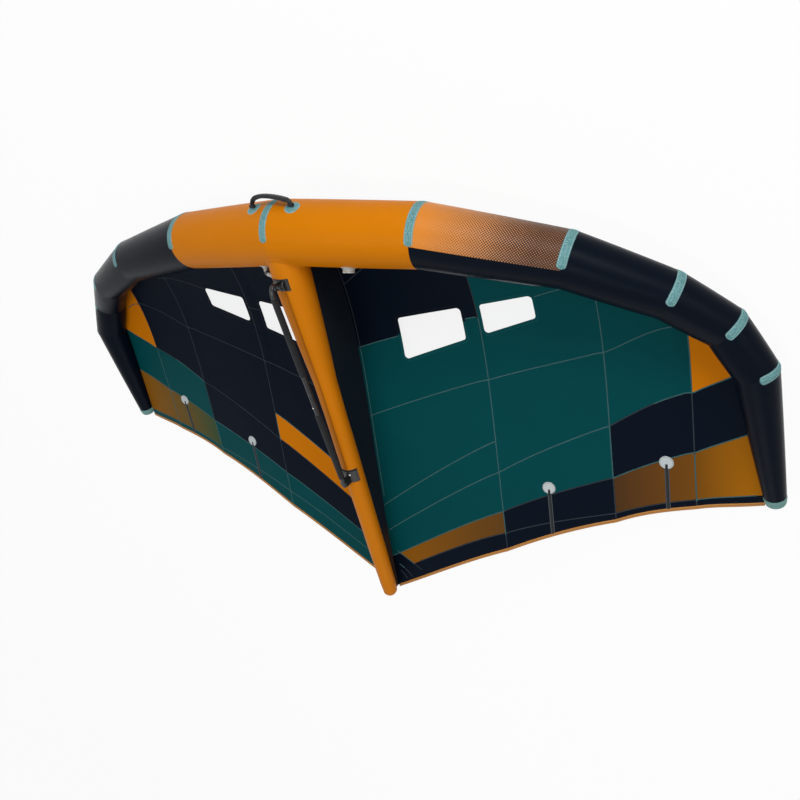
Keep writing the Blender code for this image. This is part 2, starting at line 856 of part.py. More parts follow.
for side, side_name in side_names.items():
    add_object(f"trailing_tape_{side_name}", *trailing_tape(side), orange_cloth)


# Battens, each in a narrow pocket under a round patch
def surface_at(station, share):
    """The canopy's upper face at a station inboard of the last seam, and its upward normal."""
    here = canopy_point(station, share)
    step = 0.01
    across = canopy_point(station + step, share) - canopy_point(station - step, share)
    along = canopy_point(station, share + step) - canopy_point(station, share - step)
    up = across.cross(along).normalized()
    return here, up if up.z > 0 else -up


def batten(station, front_share):
    front, up_front = surface_at(station, front_share)
    rear, up_rear = surface_at(station, 1.0 - batten_tail_margin / chord_at(station))
    up = (up_front + up_rear).normalized()
    along = (rear - front).normalized()
    across = along.cross(up).normalized()
    up = across.cross(along)
    lift = 2 * touch_gap
    ends = []
    for centre in (front, rear):
        low = centre + up * lift
        high = low + up * batten_thickness
        half = across * batten_width / 2
        ends.append([low - half, low + half, high + half, high - half])
    bar = loft(ends)
    disc_low = front + up * lift
    disc = cylinder(disc_low, disc_low + up * batten_patch_thickness, batten_patch_diameter / 2, 28)
    return bar, disc


def flipped(shape, side):
    points, faces = shape
    return ([(side * p[0], p[1], p[2]) for p in points], faces)


for side, side_name in side_names.items():
    for number, (bay_share, front_share) in enumerate(zip(batten_bay_share, batten_front_chord_share), 1):
        bar, disc = batten(number + bay_share, front_share)
        name = f"batten_{side_name}_{number}"
        made = add_object(name, *flipped(bar, side), pale_patch, smooth=False)
        boolean(made, "UNION", helper(f"{name}_patch", flipped(disc, side)))


# Front handle, which flops about the line through its two sewn ends
seat_out = Vector((0.0, math.cos(handle_seat_tilt), math.sin(handle_seat_tilt)))
handle_lift = handle_axis_reach - handle_seat_radius


def handle_seat(end, height):
    """A place over the tube at one end of the handle, on the seat's own normal."""
    span = handle_aside + end * handle_half_reach
    along = abs(span) / joints[1].x
    seat = joints[0].lerp(joints[1], along)
    seat.x = span
    return seat + seat_out * (tube_radius[0] + (tube_radius[1] - tube_radius[0]) * along + height)


handle_ends = [handle_seat(end, handle_lift) for end in (-1, 1)]
handle_axis = (handle_ends[0] + handle_ends[1]) / 2
handle_across = (handle_ends[1] - handle_ends[0]).normalized()
handle_reach = (handle_ends[1] - handle_ends[0]).length / 2
hanging = Vector((0.0, math.cos(handle_hang_tilt), math.sin(handle_hang_tilt)))
handle_out = (hanging - handle_across * hanging.dot(handle_across)).normalized()


def handle():
    """A flat oval bar swept along an arch, with round ends on the hinge line."""
    steps = 16
    rings = []
    flat_way = handle_across.cross(handle_out)
    for i in range(steps + 1):
        turn = math.pi * i / steps
        reach = -handle_reach * math.cos(turn)
        lift = handle_rise * math.sin(turn) ** 0.8
        ahead = min(turn + 0.02, math.pi)
        behind = max(turn - 0.02, 0.0)
        heading = (
            handle_across * (-handle_reach * (math.cos(ahead) - math.cos(behind)))
            + handle_out * (handle_rise * (math.sin(ahead) ** 0.8 - math.sin(behind) ** 0.8))
        ).normalized()
        upward = flat_way.cross(heading)
        swell = min(1.0, 0.58 + 0.9 * math.sin(turn))
        centre = handle_axis + handle_across * reach + handle_out * lift
        ring = []
        sides = 14
        for j in range(sides):
            round_turn = 2 * math.pi * j / sides
            ring.append(
                centre
                + flat_way * (handle_width / 2 * swell * math.cos(round_turn))
                + upward * (handle_thickness / 2 * swell * math.sin(round_turn))
            )
        rings.append(ring)
    return loft(rings)


anchor_skin = helper("anchor_skin", centre_tube(-(touch_gap + anchor_thickness)))
front_handle = add_object("front_handle", *handle(), black_foam, origin=handle_axis)
for end, end_name in ((-1, "left"), (1, "right")):
    centre = handle_axis + handle_across * (end * handle_reach)
    half = handle_across * handle_barrel_half
    barrel = helper(
        f"handle_barrel_{end_name}", cylinder(centre - half, centre + half, handle_barrel_diameter / 2, 18)
    )
    boolean(front_handle, "UNION", barrel)
    low, high = handle_seat(end, -cut_overrun), handle_seat(end, cut_overrun)
    anchor = add_object(
        f"handle_anchor_{end_name}", *cylinder(low, high, anchor_diameter / 2, 28), teal_rubber
    )
    boolean(anchor, "INTERSECT", anchor_skin)
    boolean(anchor, "DIFFERENCE", edge_clearance)


# Inflation valve on the tube's rear side, right of the strut
valve_along = (valve_span - joints[0].x) / (joints[1].x - joints[0].x)
valve_centre = joints[0].lerp(joints[1], valve_along)
valve_radius = tube_radius[0] + (tube_radius[1] - tube_radius[0]) * valve_along
valve_out = Vector((0.0, -math.cos(valve_tilt), math.sin(valve_tilt)))
valve_up = Vector((0.0, math.sin(valve_tilt), math.cos(valve_tilt)))
valve_across = Vector((1.0, 0.0, 0.0))


def valve_point(height, sideways=0.0):
    """A place over the casing's surface along the valve's axis, and sideways towards the tube's top."""
    return valve_centre + valve_out * (valve_radius + height) + valve_up * sideways


def valve_cylinder(low, high, diameter, sides=28):
    return cylinder(valve_point(low), valve_point(high), diameter / 2, sides)


valve = add_object(
    "inflation_valve",
    *valve_cylinder(-cut_overrun, cut_overrun, valve_flange_diameter),
    pale_rubber,
)
flange_skin = helper("valve_flange_skin", centre_tube(-(touch_gap + valve_flange_thickness)))
boolean(valve, "INTERSECT", flange_skin)
boolean(valve, "DIFFERENCE", edge_clearance)
boss = valve_cylinder(touch_gap + valve_flange_thickness / 2, valve_boss_height, valve_boss_diameter)
boolean(valve, "UNION", helper("valve_boss", boss))
stem = valve_cylinder(-valve_stem_depth, valve_boss_height - touch_gap, valve_stem_diameter)
boolean(valve, "UNION", helper("valve_stem", stem))
bore = valve_cylinder(-valve_stem_depth - cut_overrun, valve_boss_height + cut_overrun, valve_bore_diameter)
boolean(valve, "DIFFERENCE", helper("valve_bore", bore))
valve_hole = helper(
    "valve_hole",
    valve_cylinder(-valve_stem_depth - cut_overrun, cut_overrun, valve_stem_diameter + 2 * touch_gap),
)
for pierced in (casings[1, 0], edge_bladder):
    boolean(pierced, "DIFFERENCE", valve_hole)

cap_low = valve_boss_height + touch_gap
barrel_aside = valve_cap_diameter / 2 + cap_barrel_diameter / 2
barrel_axis = valve_point(cap_low + cap_barrel_diameter / 2, barrel_aside)
valve_cap = add_object(
    "valve_cap",
    *valve_cylinder(cap_low, cap_low + valve_cap_thickness, valve_cap_diameter),
    pale_rubber,
    origin=barrel_axis,
)
half_barrel = valve_across * (cap_barrel_length / 2)
barrel = cylinder(barrel_axis - half_barrel, barrel_axis + half_barrel, cap_barrel_diameter / 2, 16)
boolean(valve_cap, "UNION", helper("valve_cap_barrel", barrel))
tongue_ends = []
for sideways in (barrel_aside - cap_barrel_diameter, barrel_aside):
    low = valve_point(cap_low + touch_gap, sideways)
    high = valve_point(cap_low + cap_barrel_diameter - touch_gap, sideways)
    inset = half_barrel * 0.8
    tongue_ends.append([low - inset, low + inset, high + inset, high - inset])
boolean(valve_cap, "UNION", helper("valve_cap_tongue", loft(tongue_ends)))


# Hose that carries air from the edge tube to the strut
def bezier(corners, steps):
    a, b, c, d = corners
    line = []
    for i in range(steps + 1):
        t = i / steps
        line.append((1 - t) ** 3 * a + 3 * t * (1 - t) ** 2 * b + 3 * t * t * (1 - t) * c + t ** 3 * d)
    return line


def swept(line, radii, sides, start_way=None, end_way=None):
    """Rings along a line of points, square to it. The rings keep one side level, so that none twists."""
    rings = []
    for i, point in enumerate(line):
        way = line[min(i + 1, len(line) - 1)] - line[max(i - 1, 0)]
        if i == 0 and start_way:
            way = start_way
        if i == len(line) - 1 and end_way:
            way = end_way
        rings.append(circle(point, way, radii[i], sides))
    return rings


hose_edge_out = Vector((0.0, -math.cos(hose_edge_tilt), math.sin(hose_edge_tilt)))
hose_strut_out = Vector((-math.cos(hose_strut_tilt), 0.0, math.sin(hose_strut_tilt)))
hose_along = hose_edge_span / joints[1].x
hose_edge_axis = joints[0].lerp(joints[1], hose_along)
hose_edge_axis.x = -hose_edge_axis.x
hose_edge_radius = tube_radius[0] + (tube_radius[1] - tube_radius[0]) * hose_along
hose_start = hose_edge_axis + hose_edge_out * (hose_edge_radius - hose_inset)
hose_strut_axis = Vector((0.0, -hose_strut_back, strut_height))
hose_end = hose_strut_axis + hose_strut_out * (strut_radius(hose_strut_back) - hose_inset)


def hose_line(longer):
    """The hose's centre line, run on by a length at each end where it is used as a cutter."""
    start = hose_start - hose_edge_out * longer
    end = hose_end - hose_strut_out * longer
    knees = (hose_start + hose_edge_out * hose_edge_reach, hose_end + hose_strut_out * hose_strut_reach)
    line = bezier((hose_start, *knees, hose_end), 10)
    return [start, *line, end] if longer else line


hose_path = hose_line(0.0)
hose_sides = 12
hose_outer = swept(hose_path, [hose_diameter / 2] * len(hose_path), hose_sides, hose_edge_out, -hose_strut_out)
hose_inner = swept(
    hose_path, [hose_diameter / 2 - hose_wall] * len(hose_path), hose_sides, hose_edge_out, -hose_strut_out
)
add_object("strut_hose", *loft(hose_inner[::-1] + hose_outer, capped=False), pale_rubber)
hole_path = hose_line(hose_inset)
hose_hole = helper(
    "hose_hole",
    loft(swept(hole_path, [hose_diameter / 2 + touch_gap] * len(hole_path), hose_sides)),
)
for pierced in (casings[-1, 0], edge_bladder, strut_casing, strut_bladder):
    boolean(pierced, "DIFFERENCE", hose_hole)


# Boom
boom_front = Vector((0.0, -boom_front_back, strut_height + boom_front_rise))
boom_rear = Vector((0.0, -boom_rear_back, strut_height + boom_rear_rise))
boom_way = (boom_rear - boom_front).normalized()
boom_up = Vector((1.0, 0.0, 0.0)).cross(boom_way)
if boom_up.z < 0:
    boom_up = -boom_up
boom_across = Vector((1.0, 0.0, 0.0))
boom_radius = boom_tube_diameter / 2
inner_radius = boom_radius - boom_wall - touch_gap


def boom_place(along):
    return boom_front + boom_way * along


def boom_rings(profile, sides=boom_sides):
    return [circle(boom_place(along), boom_way, radius, sides) for along, radius in profile]


pivot = Vector((0.0, -pivot_back, strut_height + strut_radius(pivot_back) + pivot_above_strut))
neck_root_way = Vector((0.0, math.cos(neck_root_tilt), math.sin(neck_root_tilt)))
neck = bezier(
    (pivot, pivot + neck_root_way * neck_root_reach, boom_front - boom_way * neck_head_reach, boom_front), 12
)


def neck_rings():
    """The flat swan neck, which swells into the round boom tube at its head."""
    rings = []
    for i, point in enumerate(neck):
        way = neck[min(i + 1, len(neck) - 1)] - neck[max(i - 1, 0)]
        if i == len(neck) - 1:
            way = boom_way
        swell = max(0.0, (i - 8) / 4)
        wide = link_width / 2 + (boom_radius - link_width / 2) * swell
        thick = link_thickness / 2 + (boom_radius - link_thickness / 2) * swell
        way = way.normalized()
        deep = boom_across.cross(way)
        ring = []
        for j in range(boom_sides):
            turn = 2 * math.pi * (j + 0.5) / boom_sides
            ring.append(point + boom_across * (wide * math.cos(turn)) + deep * (thick * math.sin(turn)))
        rings.append(ring)
    return rings


def boom_circle(along, radius):
    """A ring on the boom in the same order as the neck's rings."""
    deep = boom_across.cross(boom_way)
    ring = []
    for j in range(boom_sides):
        turn = 2 * math.pi * (j + 0.5) / boom_sides
        ring.append(boom_place(along) + radius * (boom_across * math.cos(turn) + deep * math.sin(turn)))
    return ring


upper_skin = neck_rings()
upper_skin.append(boom_circle(upper_tube_end, boom_radius))
upper_skin.append(boom_circle(upper_tube_end, inner_radius))
upper_skin.append(boom_circle(inner_tube_end, inner_radius))
upper_bore = inner_radius - inner_tube_wall
upper_skin.append(boom_circle(inner_tube_end, upper_bore))
upper_skin.append(boom_circle(bore_start, upper_bore))
boom_upper = add_object("boom_upper_tube", *loft(upper_skin), black_alloy, origin=pivot)
eye_half = boom_across * (link_width / 2)
eye = cylinder(pivot - eye_half, pivot + eye_half, link_eye_diameter / 2, 28)
boolean(boom_upper, "UNION", helper("boom_link_eye", eye))
pin_hole = cylinder(
    pivot - boom_across * cut_overrun * 2,
    pivot + boom_across * cut_overrun * 2,
    pivot_pin_diameter / 2 + touch_gap,
    20,
)
pivot_hole = helper("pivot_hole", pin_hole)
boolean(boom_upper, "DIFFERENCE", pivot_hole)

button_axis = boom_place(button_place)
button_low = inner_radius + touch_gap
button_high = boom_radius + button_proud
slot_half = button_diameter / 2 + running_gap


def slot_ring(height):
    """The outline of the slot that the button's foot runs in while the tail slides out."""
    ring = []
    for far, centre in ((1, button_axis + boom_way * boom_travel), (-1, button_axis)):
        for i in range(11):
            turn = math.pi * (i / 10 - 0.5)
            reach = boom_way * (far * math.cos(turn)) + boom_across * (far * math.sin(turn))
            ring.append(centre + reach * slot_half + boom_up * height)
    return ring


slot_floor = button_low - button_travel - 2 * running_gap
button_slot = helper("button_slot", loft([slot_ring(slot_floor), slot_ring(cut_overrun)]))
boolean(boom_upper, "DIFFERENCE", button_slot)
add_object(
    "boom_button",
    *cylinder(button_axis + boom_up * button_low, button_axis + boom_up * button_high, button_diameter / 2, 20),
    bright_steel,
    origin=button_axis + boom_up * button_high,
)

lower_bore = inner_radius + touch_gap
lower_start = upper_tube_end + touch_gap
lower_skin = boom_rings(
    (
        (lower_tube_end - boom_wall, lower_bore),
        (lower_start, lower_bore),
        (lower_start, boom_radius),
        (lower_tube_end - grip_lip, boom_radius),
        (lower_tube_end, boom_radius - grip_lip),
    )
)
boom_lower = add_object("boom_lower_tube", *loft(lower_skin), black_alloy, origin=boom_place(lower_start))
button_hole = helper(
    "button_hole",
    cylinder(
        button_axis,
        button_axis + boom_up * cut_overrun,
        button_diameter / 2 + running_gap,
        20,
    ),
)
boolean(boom_lower, "DIFFERENCE", button_hole)


def grip(start, end):
    """A foam sleeve over the boom, with its two ends eased."""
    bore = boom_radius + touch_gap
    full = grip_diameter / 2
    return boom_rings(
        (
            (start, bore),
            (start, full - grip_lip),
            (start + grip_lip, full),
            (end - grip_lip, full),
            (end, full - grip_lip),
            (end, bore),
        )
    )


for name, start, end in (
    ("upper_grip", upper_grip_start, upper_grip_end),
    ("lower_grip", lower_grip_start, lower_grip_end),
):
    add_object(name, *loft(grip(start, end), capped=False), black_foam)


# Brackets on the strut, each a saddle shell with its fitting
def saddle(front_back, rear_back, thickness, wrap):
    """A solid whose rounded top stands over the strut. The strut's clearance is cut from it afterwards."""
    steps = 14
    rings = []
    for back in (front_back, rear_back):
        radius = strut_radius(back) + touch_gap + thickness
        ring = []
        for i in range(steps + 1):
            turn = wrap * (2 * i / steps - 1)
            ring.append(Vector((radius * math.sin(turn), -back, strut_height + radius * math.cos(turn))))
        rings.append(ring)
    return loft(rings)


front_start = pivot_back - front_base_ahead
front_bracket = add_object(
    "front_bracket",
    *saddle(front_start, pivot_back + front_base_behind, front_base_thickness, front_base_wrap),
    black_plastic,
)
ear_radius = link_eye_diameter / 2 + ear_margin
ear_foot = strut_height + strut_radius(pivot_back)
for end, end_name in ((-1, "left"), (1, "right")):
    near = link_width / 2 + running_gap
    sides = []
    for x in (near, near + ear_thickness):
        ring = [Vector((end * x, pivot.y - ear_radius, ear_foot)), Vector((end * x, pivot.y + ear_radius, ear_foot))]
        for i in range(11):
            turn = math.pi * i / 10
            ring.append(
                pivot
                + Vector((end * x, ear_radius * math.cos(turn), ear_radius * math.sin(turn)))
            )
        sides.append(ring)
    boolean(front_bracket, "UNION", helper(f"front_ear_{end_name}", loft(sides)))
boolean(front_bracket, "DIFFERENCE", strut_clearance)
boolean(front_bracket, "DIFFERENCE", pivot_hole)

pin_reach = link_width / 2 + running_gap + ear_thickness + touch_gap
pin_rings = []
for x, radius in (
    (-pin_reach - pivot_head_thickness, pivot_head_diameter / 2),
    (-pin_reach, pivot_head_diameter / 2),
    (-pin_reach, pivot_pin_diameter / 2),
    (pin_reach, pivot_pin_diameter / 2),
    (pin_reach, pivot_head_diameter / 2),
    (pin_reach + pivot_head_thickness, pivot_head_diameter / 2),
):
    pin_rings.append(circle(pivot + boom_across * x, boom_across, radius, 20))
add_object("pivot_pin", *loft(pin_rings), bright_steel)

rear_base_end = rear_base_front_back + rear_base_length
rear_bracket = add_object(
    "rear_bracket",
    *saddle(rear_base_front_back, rear_base_end, rear_base_thickness, rear_base_wrap),
    black_plastic,
)
cradle_inner = boom_radius + cradle_clearance
cradle_half = cradle_inner + cradle_wall
cradle_front = -(rear_base_end - cradle_length)
cradle_foot = strut_height + strut_radius(rear_base_end) * math.cos(rear_base_wrap)
cradle_top = strut_height + boom_rear_rise + cradle_lip
cradle = box((-cradle_half, -rear_base_end, cradle_foot), (cradle_half, cradle_front, cradle_top))
boolean(rear_bracket, "UNION", helper("rear_cradle", cradle))
boolean(rear_bracket, "DIFFERENCE", strut_clearance)
trough_ends = []
for along in (-cut_overrun, cut_overrun):
    centre = boom_rear + boom_way * along
    low, high = -boom_up * cradle_inner, boom_up * cut_overrun
    aside = boom_across * cradle_inner
    trough_ends.append([centre + aside + high, centre - aside + high, centre - aside + low, centre + aside + low])
boolean(rear_bracket, "DIFFERENCE", helper("rear_trough", loft(trough_ends)))

for end, end_name in ((-1, "left"), (1, "right")):
    out = Vector((end * math.sin(bolt_turn), 0.0, math.cos(bolt_turn)))
    foot = Vector((0.0, -bolt_back, strut_height))
    surface = strut_radius(bolt_back) + touch_gap + rear_base_thickness
    head_low = foot + out * (surface + touch_gap)
    head_high = head_low + out * bolt_head_thickness
    shank_low = head_low - out * bolt_shank_length
    rings = [
        circle(shank_low, out, bolt_shank_diameter / 2, 16),
        circle(head_low, out, bolt_shank_diameter / 2, 16),
        circle(head_low, out, bolt_head_diameter / 2, 16),
        circle(head_high, out, bolt_head_diameter / 2, 16),
    ]
    add_object(f"rear_bolt_{end_name}", *loft(rings), bright_steel)
    hole = cylinder(
        head_low - out * (bolt_shank_length + cut_overrun),
        head_low + out * bolt_head_thickness,
        bolt_shank_diameter / 2 + touch_gap,
        20,
    )
    boolean(rear_bracket, "DIFFERENCE", helper(f"bolt_hole_{end_name}", hole))
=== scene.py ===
import json
import math
from functools import lru_cache

import bmesh
import bpy
import numpy as np
from mathutils import Matrix, Vector
from mathutils.bvhtree import BVHTree


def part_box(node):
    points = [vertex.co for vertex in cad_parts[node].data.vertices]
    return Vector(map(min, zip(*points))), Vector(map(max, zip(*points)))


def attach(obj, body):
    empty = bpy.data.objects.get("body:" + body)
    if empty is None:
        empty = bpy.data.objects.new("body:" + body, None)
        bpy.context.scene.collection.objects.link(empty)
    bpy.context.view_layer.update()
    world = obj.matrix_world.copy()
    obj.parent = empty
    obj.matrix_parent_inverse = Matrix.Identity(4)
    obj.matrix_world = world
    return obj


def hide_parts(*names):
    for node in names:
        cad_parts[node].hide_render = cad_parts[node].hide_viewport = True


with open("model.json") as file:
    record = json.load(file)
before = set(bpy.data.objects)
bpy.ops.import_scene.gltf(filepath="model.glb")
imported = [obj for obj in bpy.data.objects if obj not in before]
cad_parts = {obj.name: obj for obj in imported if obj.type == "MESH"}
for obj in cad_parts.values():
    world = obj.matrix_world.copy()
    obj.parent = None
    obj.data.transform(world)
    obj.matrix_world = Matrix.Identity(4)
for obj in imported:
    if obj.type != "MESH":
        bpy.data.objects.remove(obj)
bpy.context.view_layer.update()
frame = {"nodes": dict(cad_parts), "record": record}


# Studio. The wing lies on a plain pale floor under four soft lamps: a long one overhead, one before the
# tube, one behind the tail and one at the right. Seen by the camera, in gloss and through film, floor and
# surroundings are white, and the floor keeps a faint shadow of the wing.
strut_tail = 1.744
wing_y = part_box("strut_casing")[0].y + strut_tail

looking = Vector((-0.5388, -0.4882, -0.6866)).normalized()
camera_right = looking.cross(Vector((-0.0907, 0.8439, -0.5288))).normalized()
camera_up = camera_right.cross(looking)
camera = bpy.data.objects.new("camera", bpy.data.cameras.new("camera"))
camera.data.sensor_width = 36.0
camera.data.lens = 36.9
camera.matrix_world = Matrix.Translation((1.987, wing_y + 0.836, 2.403)) @ Matrix(
    (camera_right, camera_up, -looking)
).transposed().to_4x4()
bpy.context.scene.collection.objects.link(camera)
bpy.context.scene.camera = camera
bpy.context.scene.view_settings.view_transform = "Standard"


def add_node(tree, kind, inputs=None, **settings):
    """One shader node with its settings and the plain values of its inputs."""
    made = tree.nodes.new(kind)
    for name, value in settings.items():
        setattr(made, name, value)
    for name, value in (inputs or {}).items():
        made.inputs[name].default_value = value
    return made


def reckon(tree, operation, *terms, clamp=False):
    """The output of one math node over numbers and sockets."""
    made = add_node(tree, "ShaderNodeMath", operation=operation, use_clamp=clamp)
    for place, term in zip(made.inputs, terms):
        if isinstance(term, (int, float)):
            place.default_value = term
        else:
            tree.links.new(term, place)
    return made.outputs[0]


def seen_directly(tree):
    """One for rays that the camera, a gloss or a film sends straight at a surface, else nought."""
    path = add_node(tree, "ShaderNodeLightPath")
    seen = reckon(tree, "MAXIMUM", path.outputs["Is Camera Ray"], path.outputs["Is Glossy Ray"])
    return reckon(tree, "MAXIMUM", seen, path.outputs["Is Transmission Ray"])


def white_where_seen(tree, output, plain, kind, share):
    """Mixes a plain lit shader with pure white for the rays that see it directly."""
    white = add_node(tree, kind, {"Color": (1.0, 1.0, 1.0, 1.0), "Strength": 1.0})
    both = add_node(tree, "ShaderNodeMixShader")
    tree.links.new(reckon(tree, "MULTIPLY", seen_directly(tree), share), both.inputs["Fac"])
    tree.links.new(plain, both.inputs[1])
    tree.links.new(white.outputs[0], both.inputs[2])
    tree.links.new(both.outputs[0], output.inputs["Surface"])


world = bpy.data.worlds.new("studio")
bpy.context.scene.world = world
world.use_nodes = True
world.node_tree.nodes["Background"].inputs["Color"].default_value = (0.97, 0.985, 1.0, 1.0)
world.node_tree.nodes["Background"].inputs["Strength"].default_value = 0.36
white_where_seen(
    world.node_tree,
    world.node_tree.nodes["World Output"],
    world.node_tree.nodes["Background"].outputs[0],
    "ShaderNodeBackground",
    1.0,
)

floor_finish = bpy.data.materials.new("studio_floor")
floor_finish.use_nodes = True
floor_shader = floor_finish.node_tree.nodes["Principled BSDF"]
floor_shader.inputs["Roughness"].default_value = 0.9
floor_grain = add_node(floor_finish.node_tree, "ShaderNodeTexNoise", {"Scale": 3.0, "Detail": 4.0})
floor_tint = add_node(
    floor_finish.node_tree,
    "ShaderNodeMapRange",
    {"From Min": 0.3, "From Max": 0.7, "To Min": 0.78, "To Max": 0.82},
)
floor_finish.node_tree.links.new(floor_grain.outputs["Fac"], floor_tint.inputs["Value"])
floor_finish.node_tree.links.new(floor_tint.outputs["Result"], floor_shader.inputs["Base Color"])
white_where_seen(
    floor_finish.node_tree,
    floor_finish.node_tree.nodes["Material Output"],
    floor_shader.outputs[0],
    "ShaderNodeEmission",
    0.94,
)
floor_mesh = bpy.data.meshes.new("studio_floor")
floor_half, floor_drop = 14.0, 0.0005
floor_corners = [
    (x * floor_half, y * floor_half, -floor_drop) for x, y in ((-1, -1), (1, -1), (1, 1), (-1, 1))
]
floor_mesh.from_pydata(floor_corners, [], [(0, 1, 2, 3)])
floor_mesh.materials.append(floor_finish)
studio_floor = bpy.data.objects.new("studio_floor", floor_mesh)
bpy.context.scene.collection.objects.link(studio_floor)

for lamp_name, lamp_place, lamp_aim, lamp_size, lamp_watts in (
    ("long_lamp", (0.3, 1.0, 4.0), (0.0, 0.2, 0.2), (2.6, 0.4), 46.0),
    ("front_lamp", (1.6, 3.7, 1.9), (0.0, 0.6, 0.2), (3.0, 1.2), 72.0),
    ("rear_lamp", (1.5, -3.6, 2.6), (0.2, 0.0, 0.2), (2.4, 2.0), 20.0),
    ("side_lamp", (4.2, 1.6, 2.0), (0.9, 0.3, 0.1), (1.4, 1.8), 22.0),
):
    lamp = bpy.data.lights.new(lamp_name, "AREA")
    lamp.shape = "RECTANGLE"
    lamp.size, lamp.size_y = lamp_size
    lamp.energy = lamp_watts
    hung = bpy.data.objects.new(lamp_name, lamp)
    hung.location = lamp_place
    hung.rotation_euler = (Vector(lamp_aim) - Vector(lamp_place)).to_track_quat("-Z", "Y").to_euler()
    bpy.context.scene.collection.objects.link(hung)


# Leading edge tube. Six tapering sleeves of coated woven polyester on each side are sewn end to end
# over one long bladder, which keeps them round and tight. The middle pair is orange, the second sleeve
# on the right carries a dark halftone print over its front, and the rest is navy.
half_span = 1.585
# Each seam of the right half, from the centre to the tip: span, distance back, radius and height.
seam_span = [half_span * share for share in (0.0, 0.339, 0.638, 0.822, 0.916, 0.970, 1.0)]
seam_back = [1.084 * share for share in (0.0, 0.041, 0.141, 0.267, 0.389, 0.529, 1.0)]
seam_radius = [0.118 * share for share in (1.0, 0.941, 0.788, 0.669, 0.606, 0.585, 0.310)]
ground_press = 0.0008
seam_rise = [0.273 * share for share in (1.0, 0.803, 0.621, 0.457)]
seam_rise += [radius - ground_press for radius in seam_radius[4:]]
seam_axis = [Vector((x, wing_y - back, z)) for x, back, z in zip(seam_span, seam_back, seam_rise)]
seam_ways = [
    (seam_axis[max(k, 1)] - seam_axis[max(k - 1, 0)]).normalized() for k in range(len(seam_axis))
]
upright = Vector((0.0, 0.0, 1.0))


def seam_ring(k, proud, turns):
    """Points round one seam of the right half, each at a turn from the top towards the front."""
    way = seam_ways[k]
    if k == 0:
        cut = Vector((1.0, 0.0, 0.0))
    elif k == len(seam_axis) - 1:
        cut = way
    else:
        cut = (seam_ways[k + 1] + way).normalized()
    side = upright.cross(way).normalized()
    top = way.cross(side)
    ring = []
    for turn in turns:
        out = (seam_radius[k] + proud) * (math.cos(turn) * top + math.sin(turn) * side)
        point = seam_axis[k] + out - way * (out.dot(cut) / way.dot(cut))
        point.z = max(point.z, -proud)
        ring.append(point)
    return ring


def full_turn(sides):
    """Even turns round a circle."""
    return [2 * math.pi * i / sides for i in range(sides)]


def round_places(sides, radius, along):
    """Places on the cloth for the corners of one ring, which ends where the cloth meets itself."""
    return [(2 * math.pi * i / sides * radius, along) for i in range(sides + 1)]


def cloth_mesh(name, points, faces, marks, finishes, chosen=None):
    """A smooth object from points and faces, with a place in metres on the cloth for each face corner."""
    mesh = bpy.data.meshes.new(name)
    mesh.from_pydata(points, [], faces)
    mesh.uv_layers.new(name="cloth").data.foreach_set("uv", marks)
    for finish in finishes:
        mesh.materials.append(finish)
    if chosen:
        mesh.polygons.foreach_set("material_index", chosen)
    mesh.shade_smooth()
    made = bpy.data.objects.new(name, mesh)
    bpy.context.scene.collection.objects.link(made)
    return made


def skin(name, grid, places, finishes, closed=False, slots=None, flip=False):
    """A surface through rows of points, with doubled corners joined and faces turned outwards.

    flip reverses each face's corners, and with them the way that a bent face splits in two.
    """
    rows, columns = len(grid), len(grid[0])
    faces, marks, chosen = [], [], []
    for r in range(rows - 1):
        for c in range(columns if closed else columns - 1):
            after = (c + 1) % columns
            corners = [(r, c, c), (r, after, c + 1), (r + 1, after, c + 1), (r + 1, c, c)]
            if flip:
                corners.reverse()
            faces.append([row * columns + column for row, column, _ in corners])
            marks += [n for row, _, place in corners for n in places[row][place]]
            chosen.append(slots(r, c) if slots else 0)
    made = cloth_mesh(name, [p for row in grid for p in row], faces, marks, finishes, chosen)
    shape = bmesh.new()
    shape.from_mesh(made.data)
    bmesh.ops.remove_doubles(shape, verts=shape.verts, dist=1e-6)
    bmesh.ops.recalc_face_normals(shape, faces=shape.faces)
    shape.to_mesh(made.data)
    shape.free()
    return made


def dress(piece, body, slot, *nodes):
    """Lets a piece ride on its body and hides the solids that it stands for. Its slot, the name of its
    finish, is not used.
    """
    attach(piece, body)
    if nodes:
        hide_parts(*nodes)
    return piece


def effect_group(name, inputs, outputs):
    """An empty node group with named sockets, and its two end nodes."""
    group = bpy.data.node_groups.new(name, "ShaderNodeTree")
    for label, kind, value in inputs:
        socket = group.interface.new_socket(label, in_out="INPUT", socket_type=kind)
        if value is not None:
            socket.default_value = value
    for label, kind in outputs:
        group.interface.new_socket(label, in_out="OUTPUT", socket_type=kind)
    return group, group.nodes.new("NodeGroupInput"), group.nodes.new("NodeGroupOutput")


def ranged(tree, value, low, high, first, last):
    """A value carried from one range to another, held at both ends."""
    made = add_node(
        tree, "ShaderNodeMapRange", {"From Min": low, "From Max": high, "To Min": first, "To Max": last}
    )
    tree.links.new(value, made.inputs["Value"])
    return made.outputs["Result"]


def tinted(tree, share, first, second):
    """A mix of two colours, each a plain colour or a socket."""
    made = add_node(tree, "ShaderNodeMix", data_type="RGBA")
    for place, term in ((made.inputs[0], share), (made.inputs[6], first), (made.inputs[7], second)):
        if isinstance(term, bpy.types.NodeSocket):
            tree.links.new(term, place)
        else:
            place.default_value = term if isinstance(term, float) else (*term, 1.0)
    return made.outputs[2]


